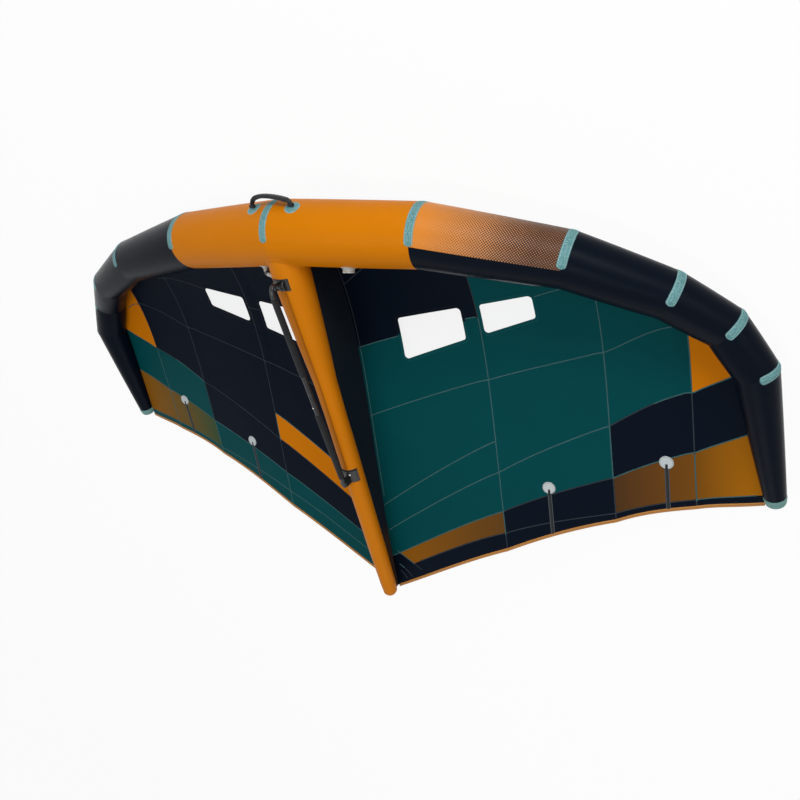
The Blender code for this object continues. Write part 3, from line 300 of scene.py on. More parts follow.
def coated_weave():
    """Coated woven cloth: fine threads, a ripstop grid, uneven dye and soft creases."""
    group, given, made = effect_group(
        "coated_weave",
        (
            ("Place", "NodeSocketVector", None),
            ("Colour", "NodeSocketColor", (0.5, 0.5, 0.5, 1.0)),
            ("Roughness", "NodeSocketFloat", 0.5),
            ("Thread", "NodeSocketFloat", 0.0011),
            ("Ripstop", "NodeSocketFloat", 0.0055),
            ("Uneven dye", "NodeSocketFloat", 0.1),
            ("Crease", "NodeSocketFloat", 0.0004),
        ),
        (("Colour", "NodeSocketColor"), ("Roughness", "NodeSocketFloat"), ("Height", "NodeSocketFloat")),
    )
    place = add_node(group, "ShaderNodeSeparateXYZ")
    group.links.new(given.outputs["Place"], place.inputs[0])
    waves, lines = [], []
    for axis in ("X", "Y"):
        turn = reckon(group, "DIVIDE", place.outputs[axis], given.outputs["Thread"])
        waves.append(reckon(group, "SINE", reckon(group, "MULTIPLY", turn, 2 * math.pi)))
        cell = reckon(group, "DIVIDE", place.outputs[axis], given.outputs["Ripstop"])
        lines.append(ranged(group, reckon(group, "PINGPONG", cell, 0.5), 0.0, 0.09, 1.0, 0.0))
    thread = reckon(group, "MULTIPLY", *waves)
    ripstop = reckon(group, "MAXIMUM", *lines)
    dye = add_node(group, "ShaderNodeTexNoise", {"Scale": 2.4, "Detail": 3.0, "Roughness": 0.55})
    crease = add_node(group, "ShaderNodeTexNoise", {"Scale": 11.0, "Detail": 3.0, "Distortion": 0.7})
    for texture in (dye, crease):
        group.links.new(given.outputs["Place"], texture.inputs["Vector"])
    uneven = reckon(group, "SUBTRACT", dye.outputs["Fac"], 0.5)
    dyed = reckon(group, "MULTIPLY", uneven, given.outputs["Uneven dye"])
    shade = reckon(group, "MULTIPLY_ADD", dyed, 2.0, 1.0)
    shade = reckon(group, "MULTIPLY_ADD", thread, 0.05, shade)
    shade = reckon(group, "MULTIPLY_ADD", ripstop, 0.07, shade)
    scaled = add_node(group, "ShaderNodeVectorMath", operation="SCALE")
    group.links.new(given.outputs["Colour"], scaled.inputs[0])
    group.links.new(shade, scaled.inputs["Scale"])
    group.links.new(scaled.outputs[0], made.inputs["Colour"])
    worn = reckon(group, "SUBTRACT", crease.outputs["Fac"], 0.5)
    rough = reckon(group, "MULTIPLY_ADD", worn, 0.14, given.outputs["Roughness"])
    group.links.new(reckon(group, "MULTIPLY_ADD", thread, 0.03, rough, clamp=True), made.inputs["Roughness"])
    height = reckon(group, "MULTIPLY", worn, given.outputs["Crease"])
    height = reckon(group, "MULTIPLY_ADD", thread, 0.00003, height)
    height = reckon(group, "MULTIPLY_ADD", ripstop, 0.00005, height)
    group.links.new(height, made.inputs["Height"])
    return group


weave_effect = coated_weave()


def new_finish(name, **plain):
    """A material whose shader has its constant values on its own sockets."""
    made = bpy.data.materials.new(name)
    made.use_nodes = True
    shader = made.node_tree.nodes["Principled BSDF"]
    for label, value in plain.items():
        shader.inputs[label.replace("_", " ")].default_value = value
    return made, made.node_tree, shader


def place_on(tree, source="UV"):
    """Where a point lies on its own piece: on the cut cloth, or in the wing's frame."""
    if source == "UV":
        return add_node(tree, "ShaderNodeUVMap", uv_map="cloth").outputs[0]
    return add_node(tree, "ShaderNodeTexCoord").outputs["Object"]


def use_effect(tree, effect, place, **values):
    """A placed effect group with its place linked and its other inputs given as values or sockets."""
    made = add_node(tree, "ShaderNodeGroup", node_tree=effect)
    tree.links.new(place, made.inputs["Place"])
    for label, value in values.items():
        socket = made.inputs[label.replace("_", " ")]
        if isinstance(value, bpy.types.NodeSocket):
            tree.links.new(value, socket)
        else:
            socket.default_value = value if isinstance(value, float) else (*value, 1.0)
    return made


def raise_surface(tree, shader, height, *more):
    """A bump in metres from one or more heights."""
    for extra in more:
        height = reckon(tree, "ADD", height, extra)
    bump = add_node(tree, "ShaderNodeBump", {"Distance": 1.0, "Strength": 1.0})
    tree.links.new(height, bump.inputs["Height"])
    tree.links.new(bump.outputs["Normal"], shader.inputs["Normal"])


def wear_effect(tree, shader, effect, colour=None, *more):
    """Takes colour, roughness and height from an effect, or another colour, and adds more heights."""
    tree.links.new(colour or effect.outputs["Colour"], shader.inputs["Base Color"])
    tree.links.new(effect.outputs["Roughness"], shader.inputs["Roughness"])
    raise_surface(tree, shader, effect.outputs["Height"], *more)


def woven(name, dye, roughness, specular=0.5, crease=0.0004):
    """A finish of coated cloth. dye is a colour, or a function that paints the cloth by place."""
    made, tree, shader = new_finish(name, Specular_IOR_Level=specular)
    place = place_on(tree)
    shown = dye(tree, place) if callable(dye) else dye
    weave = use_effect(tree, weave_effect, place, Colour=shown, Roughness=roughness, Crease=crease)
    wear_effect(tree, shader, weave)
    return made


orange = (0.585, 0.177, 0.0006)
navy = (0.0022, 0.0046, 0.0100)
orange_sleeve = woven("orange_sleeve", orange, 0.40, 0.06)
navy_sleeve = woven("navy_sleeve", navy, 0.23, 0.040)


def halftone(tree, place):
    """Dark lozenges on orange that grow along the sleeve until the orange is only a net between them."""
    spread = add_node(tree, "ShaderNodeSeparateXYZ")
    tree.links.new(place, spread.inputs[0])
    lozenge = 0.0095
    waves = []
    for sign in ("ADD", "SUBTRACT"):
        slant = reckon(tree, sign, spread.outputs["X"], spread.outputs["Y"])
        waves.append(reckon(tree, "COSINE", reckon(tree, "MULTIPLY", slant, 2 * math.pi / lozenge)))
    pattern = reckon(tree, "MULTIPLY", reckon(tree, "ADD", *waves), 0.5)
    grown = ranged(tree, spread.outputs["Y"], 0.03, 0.40, 1.05, -0.60)
    ink = ranged(tree, reckon(tree, "SUBTRACT", pattern, grown), -0.12, 0.12, 0.0, 1.0)
    paler = ranged(tree, spread.outputs["Y"], 0.05, 0.30, 0.0, 1.0)
    net = tinted(tree, paler, (0.64, 0.215, 0.025), (0.47, 0.21, 0.085))
    return tinted(tree, ink, net, (0.045, 0.019, 0.011))


print_sleeve = woven("print_sleeve", halftone, 0.38, 0.16)

around = 90
sleeve_turns = full_turn(around)
print_first, print_last = 1, 47
row_length = 0.014
# The cloth is smooth on the outer side of each bend and puckers most on the inner side.
outer_turn = math.radians(75)
swell = 0.0012
pucker_reach = 0.030
pucker_depth = 0.0009


def sleeve(side, k):
    """One sleeve: a cone between two seams, swollen a little by the air and drawn in along each seam."""
    start, end = seam_ring(k, 0.0, sleeve_turns), seam_ring(k + 1, 0.0, sleeve_turns)
    length = (seam_axis[k + 1] - seam_axis[k]).length
    rows = max(10, round(length / row_length))
    mean_radius = (seam_radius[k] + seam_radius[k + 1]) / 2
    bends = [
        seam_ways[j].angle(seam_ways[j + 1]) if 0 < j < len(seam_axis) - 1 else 0.05 for j in (k, k + 1)
    ]
    grid, places = [], []
    for r in range(rows + 1):
        along = r / rows
        middle = seam_axis[k].lerp(seam_axis[k + 1], along)
        row = []
        for i, turn in enumerate(sleeve_turns):
            point = start[i].lerp(end[i], along)
            out = (point - middle).normalized()
            lift = swell * math.sin(math.pi * along) ** 0.7
            for seam, near in ((k, along * length), (k + 1, (1 - along) * length)):
                inside = 0.5 - 0.5 * math.cos(turn - outer_turn)
                folds = 0.5 + 0.5 * math.sin(turn * (13 + seam) + 1.7 * seam + 0.8 * math.sin(3 * turn))
                fade = math.exp(-near / pucker_reach) * (1 - math.exp(-near / 0.006))
                lift -= pucker_depth * folds * fade * (0.45 + 3.2 * bends[seam - k] * inside)
            point = point + out * lift
            point.z = max(point.z, 0.0)
            row.append(Vector((side * point.x, point.y, point.z)))
        grid.append(row)
        places.append(round_places(around, mean_radius, along * length))
    return grid, places


def print_or_navy(row, column):
    """The print covers the front of its sleeve, and plain navy cloth the rest."""
    return 0 if print_first <= column < print_last else 1


side_names = {1: "right", -1: "left"}
sleeve_finishes = {
    1: (orange_sleeve, print_sleeve, navy_sleeve, navy_sleeve, navy_sleeve, navy_sleeve),
    -1: (orange_sleeve, navy_sleeve, navy_sleeve, navy_sleeve, navy_sleeve, navy_sleeve),
}
sleeve_slots = {
    orange_sleeve: "orange_dacron", print_sleeve: "print_dacron", navy_sleeve: "navy_dacron",
}
for side, side_name in side_names.items():
    for k, finish in enumerate(sleeve_finishes[side]):
        finishes, slots = [finish], None
        if finish is print_sleeve:
            finishes, slots = [print_sleeve, navy_sleeve], print_or_navy
        name = f"sleeve_{side_name}_{k + 1}"
        made = skin(name, *sleeve(side, k), finishes, closed=True, slots=slots, flip=side < 0)
        dress(made, "wing", sleeve_slots[finish], f"edge_casing_{side_name}_{k + 1}")


# Bladders. Two bags of thin milky film, one in the tube and one in the strut, hold the air.
# They show only through the pierced places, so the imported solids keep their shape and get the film's look.
def repaint(finish, *nodes):
    """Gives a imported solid, whose shape is right, a better finish."""
    for node in nodes:
        solid = frame["nodes"][node]
        for place in range(len(solid.material_slots)):
            solid.material_slots[place].link = "OBJECT"
            solid.material_slots[place].material = finish


bladder_film, film_tree, film_shader = new_finish("milky_film", Roughness=0.3, Coat_Weight=0.4)
film_cloud = add_node(film_tree, "ShaderNodeTexNoise", {"Scale": 9.0, "Detail": 4.0})
film_tree.links.new(place_on(film_tree, "Object"), film_cloud.inputs["Vector"])
film_tree.links.new(
    tinted(film_tree, film_cloud.outputs["Fac"], (0.62, 0.63, 0.61), (0.74, 0.75, 0.72)),
    film_shader.inputs["Base Color"],
)
raise_surface(film_tree, film_shader, reckon(film_tree, "MULTIPLY", film_cloud.outputs["Fac"], 0.0008))
repaint(bladder_film, "edge_bladder", "strut_bladder")


# Tip caps. A short sewn cover of pale green cloth closes each end of the tube, drawn in over a round
# end patch with a folded hem where it meets the sleeve.
stitch_group_inputs = (
    ("Place", "NodeSocketVector", None),
    ("Row", "NodeSocketFloat", 0.008),
    ("Step", "NodeSocketFloat", 0.004),
)


def sewn_rows():
    """Two rows of stitches, each the same distance from the middle of a strip."""
    group, given, made = effect_group(
        "sewn_rows", stitch_group_inputs, (("Mask", "NodeSocketFloat"), ("Height", "NodeSocketFloat"))
    )
    place = add_node(group, "ShaderNodeSeparateXYZ")
    group.links.new(given.outputs["Place"], place.inputs[0])
    off = reckon(group, "SUBTRACT", reckon(group, "ABSOLUTE", place.outputs["Y"]), given.outputs["Row"])
    row = ranged(group, reckon(group, "ABSOLUTE", off), 0.0003, 0.0011, 1.0, 0.0)
    beat = reckon(group, "PINGPONG", reckon(group, "DIVIDE", place.outputs["X"], given.outputs["Step"]), 0.5)
    mask = reckon(group, "MULTIPLY", row, ranged(group, beat, 0.10, 0.2, 0.0, 1.0))
    group.links.new(mask, made.inputs["Mask"])
    group.links.new(reckon(group, "MULTIPLY", mask, 0.0003), made.inputs["Height"])
    return group


stitch_effect = sewn_rows()


def sewn(name, dye, roughness, thread, row, step=0.004, specular=0.45, crease=0.0003):
    """Cloth with two rows of stitching along the strip. dye is as for plain cloth."""
    made, tree, shader = new_finish(name, Specular_IOR_Level=specular)
    place = place_on(tree)
    shown = dye(tree, place) if callable(dye) else dye
    weave = use_effect(tree, weave_effect, place, Colour=shown, Roughness=roughness, Crease=crease)
    stitches = use_effect(tree, stitch_effect, place, Row=row, Step=step)
    shown = tinted(tree, stitches.outputs["Mask"], weave.outputs["Colour"], thread)
    wear_effect(tree, shader, weave, shown, stitches.outputs["Height"])
    return made


cap_cloth = sewn("cap_cloth", (0.12, 0.27, 0.255), 0.55, (0.30, 0.42, 0.40), 0.0045)
# Reach past the end seam, share of the end ring, and height over the cloth.
cap_profile = (
    (-0.0100, 1.000, 0.0006), (-0.0085, 1.000, 0.0014), (-0.0020, 1.000, 0.0015), (0.0000, 1.000, 0.0005),
    (0.0060, 0.992, 0.0), (0.0120, 0.972, 0.0), (0.0185, 0.932, 0.0), (0.0240, 0.840, 0.0),
    (0.0280, 0.660, 0.0), (0.0297, 0.420, 0.0), (0.0302, 0.180, 0.0), (0.0303, 0.012, 0.0),
)
cap_sides = 72
cap_turns = full_turn(cap_sides)
for side, side_name in side_names.items():
    last = len(seam_axis) - 1
    end_way = (seam_axis[last] - seam_axis[last - 1]).normalized()
    rim = seam_ring(last, 0.0, cap_turns)
    grid, places = [], []
    for reach, share, proud in cap_profile:
        middle = seam_axis[last] + end_way * reach
        row = []
        for turn, p in zip(cap_turns, rim):
            out = p - seam_axis[last]
            gather = 0.0054 * math.sin(18 * turn) * min(1.0, max(0.0, (0.995 - share) * 6))
            point = middle + out * (share - gather) + out.normalized() * proud
            point.z = max(point.z, 0.0)
            row.append(Vector((side * point.x, point.y, point.z)))
        grid.append(row)
        places.append(round_places(cap_sides, seam_radius[last], reach + 0.006))
    made = skin(f"tip_cover_{side_name}", grid, places, [cap_cloth], closed=True, flip=side < 0)
    dress(made, "wing", "teal_rubber", f"tip_cap_{side_name}")


# Scuff strips. A strip of pebbled green rubberised tape is sewn over each seam of the tube, from near
# the top, round the front and under, where the tube would chafe on sand and board. Its ends are round.
strip_half = 0.0155
strip_proud = 0.0009
strip_starts = [math.radians(turn) for turn in (4, 4, 7, 7, 10, 17)]
strip_to = math.radians(206)


def pebbled(tree, place):
    """Pale pebbles over a deeper green ground."""
    pebbles = add_node(tree, "ShaderNodeTexVoronoi", {"Scale": 210.0})
    tree.links.new(place, pebbles.inputs["Vector"])
    soiled = add_node(tree, "ShaderNodeTexNoise", {"Scale": 26.0, "Detail": 3.0})
    tree.links.new(place, soiled.inputs["Vector"])
    ground = tinted(tree, soiled.outputs["Fac"], (0.060, 0.185, 0.195), (0.125, 0.300, 0.310))
    shown = ranged(tree, pebbles.outputs["Distance"], 0.10, 0.55, 0.6, 0.0)
    return tinted(tree, shown, ground, (0.34, 0.50, 0.50))


scuff_tape = sewn("scuff_tape", pebbled, 0.6, (0.36, 0.52, 0.52), 0.0125, specular=0.2, crease=0.0002)


def scuff_strip(side, k, both_sides):
    """A strip along one seam, folded over the bend, with eased edges and round ends."""
    radius = seam_radius[k]
    strip_from = strip_starts[k]
    steps = max(30, round((strip_to - strip_from) * radius / 0.005))
    turns = [strip_from + (strip_to - strip_from) * i / steps for i in range(steps + 1)]
    offsets = (-1.0, -0.985, -0.9, -0.5, -0.12, 0.0, 0.12, 0.5, 0.9, 0.985, 1.0)
    heights = (0.0001, 0.6, 0.95, 1.0, 1.0, 1.0, 1.0, 1.0, 0.95, 0.6, 0.0001)
    ring = seam_ring(k, 0.0, turns)
    outer = seam_ring(k + 1, 0.0, turns)
    inner = [Vector((-p.x, p.y, p.z)) for p in outer] if both_sides else seam_ring(k - 1, 0.0, turns)
    grid, places = [], []
    for i, turn in enumerate(turns):
        reach = min(turn - strip_from, strip_to - turn) * radius
        narrow = math.sqrt(max(0.0, 1 - (1 - min(reach / strip_half, 1.0)) ** 2))
        out = (ring[i] - seam_axis[k]).normalized()
        row = []
        for offset, height in zip(offsets, heights):
            way = ((outer[i] if offset > 0 else inner[i]) - ring[i]).normalized()
            lift = strip_proud * height * min(1.0, 0.2 + narrow * 1.2)
            point = ring[i] + way * (abs(offset) * strip_half * narrow) + out * lift
            point.z = max(point.z, 0.0)
            row.append(Vector((side * point.x, point.y, point.z)))
        grid.append(row)
        places.append([(turn * radius, offset * strip_half * narrow) for offset in offsets])
    return grid, places


for k in range(len(seam_axis) - 1):
    for side, side_name in side_names.items():
        if k == 0 and side < 0:
            continue
        grid, places = scuff_strip(side, k, k == 0)
        name = "scuff_strip_centre" if k == 0 else f"scuff_strip_{side_name}_{k}"
        dress(skin(name, grid, places, [scuff_tape], flip=side > 0), "wing", "teal_rubber")


# Strut. One straight tapering sleeve of the same orange cloth runs from the tube to past the trailing
# edge over its own bladder. A sewn collar joins it to the tube, and its tail is a round gathered end.
strut_back, strut_length, strut_rise, strut_root = 0.020, 1.724, 0.300, 0.073
# The sleeve's radius at places along it, as shares of its length and of its radius at the root.
strut_run = (0.0, 0.077, 0.168, 0.253, 0.343, 0.432, 0.524, 0.629, 0.735, 0.848, 0.965, 0.994, 1.0)
strut_share = (1.0, 1.0, 0.890, 0.777, 0.630, 0.597, 0.597, 0.570, 0.541, 0.521, 0.466, 0.420, 0.300)


def strut_radius(back):
    return float(np.interp((back - strut_back) / strut_length, strut_run, strut_share)) * strut_root


def tube_gap(point):
    """How far a point near the centre stands off the tube's skin."""
    along = min(abs(point.x) / seam_span[1], 1.0)
    axis = seam_axis[0].lerp(seam_axis[1], along)
    way = (seam_axis[1] - seam_axis[0]).normalized()
    away = Vector((abs(point.x), point.y, point.z)) - axis
    away -= way * away.dot(way)
    return away.length - (seam_radius[0] + (seam_radius[1] - seam_radius[0]) * along)


def strut_point(back, turn, proud=0.0):
    """A place on the strut's skin, at a turn from its top towards the right."""
    radius = strut_radius(back) + proud
    return Vector((radius * math.sin(turn), wing_y - back, strut_rise + radius * math.cos(turn)))


def strut_meets_tube(turn, proud=0.0):
    near, far = 0.0, 0.20
    for _ in range(26):
        middle = (near + far) / 2
        if tube_gap(strut_point(middle, turn)) < proud:
            near = middle
        else:
            far = middle
    return far


orange_strut = woven("orange_strut", orange, 0.44, 0.10, crease=0.0005)
strut_sides = 72
strut_turns = full_turn(strut_sides)
strut_tuck = 0.004
strut_starts = [strut_meets_tube(turn) - strut_tuck for turn in strut_turns]
grid, places = [], []
strut_rows = 130
strut_end = strut_back + strut_length
for r in range(strut_rows + 1):
    row, marks = [], []
    for i, turn in enumerate(strut_turns):
        back = strut_starts[i] + (strut_end - strut_starts[i]) * r / strut_rows
        tail = max(0.0, 1 - (strut_end - back) / 0.05)
        folds = 0.0007 * tail * math.sin(16 * turn)
        near = back - strut_starts[i]
        folds -= 0.0010 * math.exp(-near / 0.03) * (0.5 + 0.5 * math.sin(15 * turn))
        row.append(strut_point(back, turn, folds))
        marks.append((turn * 0.05, back))
    marks.append((2 * math.pi * 0.05, marks[0][1]))
    grid.append(row)
    places.append(marks)
for share, reach in ((0.72, 0.0035), (0.40, 0.0055), (0.02, 0.006)):
    row = []
    for turn in strut_turns:
        radius = strut_radius(strut_end) * share
        row.append(Vector((
            radius * math.sin(turn), wing_y - strut_end - reach * 0.35, strut_rise + radius * math.cos(turn)
        )))
    grid.append(row)
    places.append([(x, strut_end + reach) for x, _ in places[-1]])
strut_sleeve = skin("strut_sleeve", grid, places, [orange_strut], closed=True)
dress(strut_sleeve, "wing", "orange_dacron", "strut_casing")

collar_cloth = sewn("collar_cloth", orange, 0.46, (0.50, 0.150, 0.002), 0.0045, specular=0.10)
grid, places = [], []
for i, turn in enumerate(strut_turns):
    start = strut_starts[i] + strut_tuck
    foot = strut_point(start, turn)
    along = min(abs(foot.x) / seam_span[1], 1.0)
    axis = seam_axis[0].lerp(seam_axis[1], along)
    axis.x = foot.x
    out = (foot - axis).normalized()
    away = (foot - Vector((0.0, foot.y, strut_rise))).normalized()
    slide = (away - out * away.dot(out)).normalized()
    row = []
    for step, lift in ((0.0075, 0.0001), (0.0072, 0.0007), (0.0030, 0.0010)):
        spot = foot + slide * step
        spot -= out * tube_gap(spot)
        row.append(spot + out * lift)
    row.append(foot + out * 0.0013 + away * 0.0013)
    for step, lift in ((0.0030, 0.0010), (0.0072, 0.0007), (0.0075, 0.0001)):
        row.append(strut_point(start + step, turn, lift))
    grid.append(row)
    places.append([(turn * 0.075, v) for v in (-0.0075, -0.0072, -0.003, 0.0, 0.003, 0.0072, 0.0075)])
grid.append(grid[0])
places.append([(2 * math.pi * 0.075, v) for _, v in places[0]])
dress(skin("strut_collar", grid, places, [collar_cloth]), "wing", "orange_dacron")

# The sleeve is closed by one lapped seam along its top, under a narrow tape from bracket to bracket. The
# tape's darker orange is painted shadow of the boom, laid along the strut's top.
ridge_tape_painted_shadow = sewn(
    "ridge_tape_painted_shadow", (0.36, 0.105, 0.001), 0.6, (0.44, 0.135, 0.002), 0.0030, step=0.003, specular=0.12
)
ridge_half, ridge_turn = 0.0045, math.radians(9)
ridge_first, ridge_last, ridge_rows = 0.192, 1.006, 120
grid, places = [], []
for i in range(ridge_rows + 1):
    back = ridge_first + (ridge_last - ridge_first) * i / ridge_rows
    row, marks = [], []
    for offset, lift in (
        (-1.0, -0.0002), (-0.96, 0.0007), (-0.6, 0.0011), (0.0, 0.0012),
        (0.6, 0.0011), (0.96, 0.0007), (1.0, -0.0002),
    ):
        turn = ridge_turn + offset * ridge_half / strut_radius(back)
        row.append(strut_point(back, turn, lift))
        marks.append((back, offset * ridge_half))
    grid.append(row)
    places.append(marks)
dress(skin("strut_ridge", grid, places, [ridge_tape_painted_shadow]), "wing", "orange_dacron")


# Canopy. One continuous skin of light ripstop, cut in colour panels that are sewn into a single curved
# sheet. It leaves the tube's underside along it and runs taut to the trailing edge from tip to tip.
# Its edge is tucked 2.2 mm under the skin of the sleeves.
canopy_proud = -0.0022
# At each side seam: span, where the sheet ends, how far round the tube it starts, how far its curve
# keeps each end's direction, and its slope at the tail.
panel_span = [half_span * share for share in (0.0, 0.366, 0.653, 0.839)] + [half_span - 0.029]
panel_number = [0.0, 1.0, 2.0, 3.0, 4.0]
tail_back = [1.754 * share for share in (1.0, 0.828, 0.718, 0.660)] + [1.084 + 0.035]
tail_rise = [(strut_rise - 0.062) * share for share in (1.0, 0.693, 0.370, 0.240, 0.145)]
nose_angle = [math.radians(angle) for angle in (32, 20, 18, 9)]
nose_run, tail_run = (0.29, 0.35, 0.34, 0.33), (0.57, 0.55, 0.57, 0.57)
tail_slope = (0.118, 0.160, 0.112, 0.088)
edge_turn_first, edge_turn_last = math.radians(26), math.radians(78)
# Each seam across the panels, at the same five places, as a share of the sheet's depth.
seam_lines = {
    "nose": (0.0, 0.0, 0.0, 0.0, 0.0),
    "first": (0.362, 0.297, 0.150, 0.070, 0.030),
    "second": (0.530, 0.479, 0.386, 0.185, 0.100),
    "third": (0.765, 0.659, 0.520, 0.340, 0.185),
    "fourth": (0.836, 0.753, 0.644, 0.472, 0.325),
    "fifth": (0.911, 0.876, 0.836, 0.740, 0.600),
    "sixth": (0.955, 0.947, 0.973, 0.966, 0.950),
    "tail": (1.0, 1.0, 1.0, 1.0, 1.0),
}


def eased(at, places, values):
    """A cubic through the values, so that a curve given at a few places has no corner at them."""
    slopes = np.gradient(np.array(values, float), np.array(places, float))
    k = int(np.clip(np.searchsorted(places, at) - 1, 0, len(places) - 2))
    run = places[k + 1] - places[k]
    t = (at - places[k]) / run
    climb = values[k + 1] - values[k]
    a = slopes[k] * run - climb
    b = climb - slopes[k + 1] * run
    return float(values[k] + climb * t + t * (1 - t) * (a * (1 - t) + b * t))


def beside_tube(along, turn):
    k = min(int(along), len(seam_axis) - 2)
    start, end = seam_ring(k, canopy_proud, [turn])[0], seam_ring(k + 1, canopy_proud, [turn])[0]
    return start.lerp(end, along - k)


def nose_at(span, angle):
    rims = [seam_ring(k, canopy_proud, [math.pi - angle])[0] for k in range(len(seam_axis) - 1)]
    spans = [p.x for p in rims]
    return Vector((
        span, np.interp(span, spans, [p.y for p in rims]), np.interp(span, spans, [p.z for p in rims])
    ))


def tail_at(number):
    return Vector((
        eased(number, panel_number, panel_span), wing_y - eased(number, panel_number, tail_back),
        eased(number, panel_number, tail_rise),
    ))


@lru_cache(maxsize=None)
def batten_line(number):
    """The curve of the canopy across the wing's depth at one place along the span."""
    inner = panel_number[:4]
    span = float(np.interp(number, inner, panel_span[:4]))
    angle = eased(number, inner, nose_angle)
    start, end = nose_at(span, angle), tail_at(number)
    end.x = span
    depth = start.y - end.y
    step = math.radians(1)
    heading = (nose_at(span, angle - step) - nose_at(span, angle + step)).normalized()
    slope = eased(number, inner, tail_slope)
    corners = (
        start, start + depth * eased(number, inner, nose_run) * heading,
        end + depth * eased(number, inner, tail_run) * Vector((0.0, 1.0, -slope)), end,
    )
    t = np.linspace(0, 1, 49)
    weights = ((1 - t) ** 3, 3 * t * (1 - t) ** 2, 3 * t * t * (1 - t), t ** 3)
    return (
        start, end, depth, slope,
        -sum(w * c.y for w, c in zip(weights, corners)), sum(w * c.z for w, c in zip(weights, corners)),
    )


def inner_point(number, share):
    start, end, depth, slope, backs, rises = batten_line(number)
    if share > 1:
        return end + (share - 1) * depth * Vector((0.0, -1.0, slope))
    wanted = start.y - share * depth
    return Vector((start.x, wanted, float(np.interp(-wanted, backs, rises))))


@lru_cache(maxsize=None)
def edge_at(share):
    """The sheet's outer edge along the inner side of the tube's last stretch."""
    first, last = 4, len(seam_axis) - 1
    run = min(share, 1.0)
    turn = math.pi + edge_turn_first + (edge_turn_last - edge_turn_first) * run
    point = beside_tube(first + (last - first) * run ** 0.6, turn)
    corner = tail_at(4.0)
    slip = corner.y - beside_tube(last, math.pi + edge_turn_last).y
    point.y += slip * run * run if slip < 0 else 0.0
    if share > 1:
        point.y -= (share - 1) * (seam_axis[first].y - corner.y)
    return point


last_rims = [seam_ring(k, canopy_proud, [math.pi - nose_angle[-1]])[0].x for k in range(len(seam_axis) - 1)]
last_nose = float(np.interp(panel_span[3], last_rims, range(len(last_rims))))


def canopy_point(number, share):
    """A point of the sheet on the right half, at a place counted in panels and a share of its depth."""
    if number <= 3:
        return inner_point(number, share)
    mix = number - 3
    point = inner_point(3.0, share).lerp(edge_at(share), mix)
    hold = min(share, 1.0)
    front_turn = math.pi + edge_turn_first * mix - nose_angle[-1] * (1 - mix)
    front = beside_tube(float(np.interp(mix, (0, 1), (last_nose, 4))), front_turn)
    point += (front - inner_point(3.0, 0.0).lerp(edge_at(0.0), mix)) * (1 - hold)
    rear, straight = tail_at(number), tail_at(3.0).lerp(edge_at(1.0), mix)
    rear.x, rear.z = straight.x, straight.z
    return point + (rear - straight) * (1 - mix) * hold


seam_slip = (0.0, 0.024, 0.013, 0.045, 0.0)


def sheet_point(number, share):
    """A point of the sheet by its panels, whose side seams lean a little inwards towards the tube."""
    slip = eased(number, panel_number, seam_slip) * (1 - share)
    return canopy_point(min(max(number - slip, 0.0), 4.0), share)


def line_share(line, number):
    return eased(number, panel_number, seam_lines[line])


line_names = list(seam_lines)
zone_rows = (16, 9, 9, 5, 6, 5, 5)
panel_columns = (32, 26, 17, 15)
column_numbers = [
    k + c / count for k, count in enumerate(panel_columns) for c in range(count)
] + [4.0]


def sheet_column(number):
    """Points down one column of the sheet, with rows that keep to the seam lines."""
    column = []
    for zone, rows in enumerate(zone_rows):
        near, far = line_share(line_names[zone], number), line_share(line_names[zone + 1], number)
        column += [sheet_point(number, near + (far - near) * r / rows) for r in range(rows)]
    return column + [sheet_point(number, 1.0)]


right_columns = [sheet_column(number) for number in column_numbers]
mirrored_columns = [[Vector((-p.x, p.y, p.z)) for p in column] for column in right_columns[:0:-1]]
sheet_columns = mirrored_columns + right_columns
signed_numbers = [-number for number in column_numbers[:0:-1]] + column_numbers
zone_of_row = [zone for zone, rows in enumerate(zone_rows) for _ in range(rows)]

teal = (0.0010, 0.058, 0.064)
teal_panel = woven("teal_panel", teal, 0.5, 0.03, crease=0.0006)
navy_panel = woven("navy_panel", (0.0022, 0.0050, 0.0115), 0.5, 0.03, crease=0.0006)
orange_panel = woven("orange_panel", (0.62, 0.185, 0.002), 0.5, 0.03, crease=0.0006)


def faded(first, second, near, far):
    """Colour that runs from one to another between two places along the span."""
    def paint(tree, place):
        spread = add_node(tree, "ShaderNodeSeparateXYZ")
        tree.links.new(place, spread.inputs[0])
        along = reckon(tree, "ABSOLUTE", spread.outputs["X"])
        return tinted(tree, ranged(tree, along, near, far, 0.0, 1.0), first, second)
    return paint


# First colour, second colour, and the span at which each begins. The amber band darkens towards the strut.
fades = {
    "ochre_panel": ((0.255, 0.092, 0.005), (0.120, 0.052, 0.012), 0.05, 0.58),
    "bronze_panel": ((0.076, 0.034, 0.012), (0.180, 0.066, 0.008), 1.04, 1.33),
    "olive_panel": ((0.040, 0.075, 0.034), (0.270, 0.100, 0.005), 1.04, 1.55),
    "amber_panel": ((0.190, 0.070, 0.006), (0.460, 0.160, 0.003), 1.33, 1.57),
}
faded_panels = {
    name: woven(name, faded(*fade), 0.5, 0.03, crease=0.0006) for name, fade in fades.items()
}
canopy_finishes = [navy_panel, teal_panel, orange_panel, *faded_panels.values()]
NAVY, TEAL, ORANGE, OCHRE, BRONZE, OLIVE, AMBER = range(7)
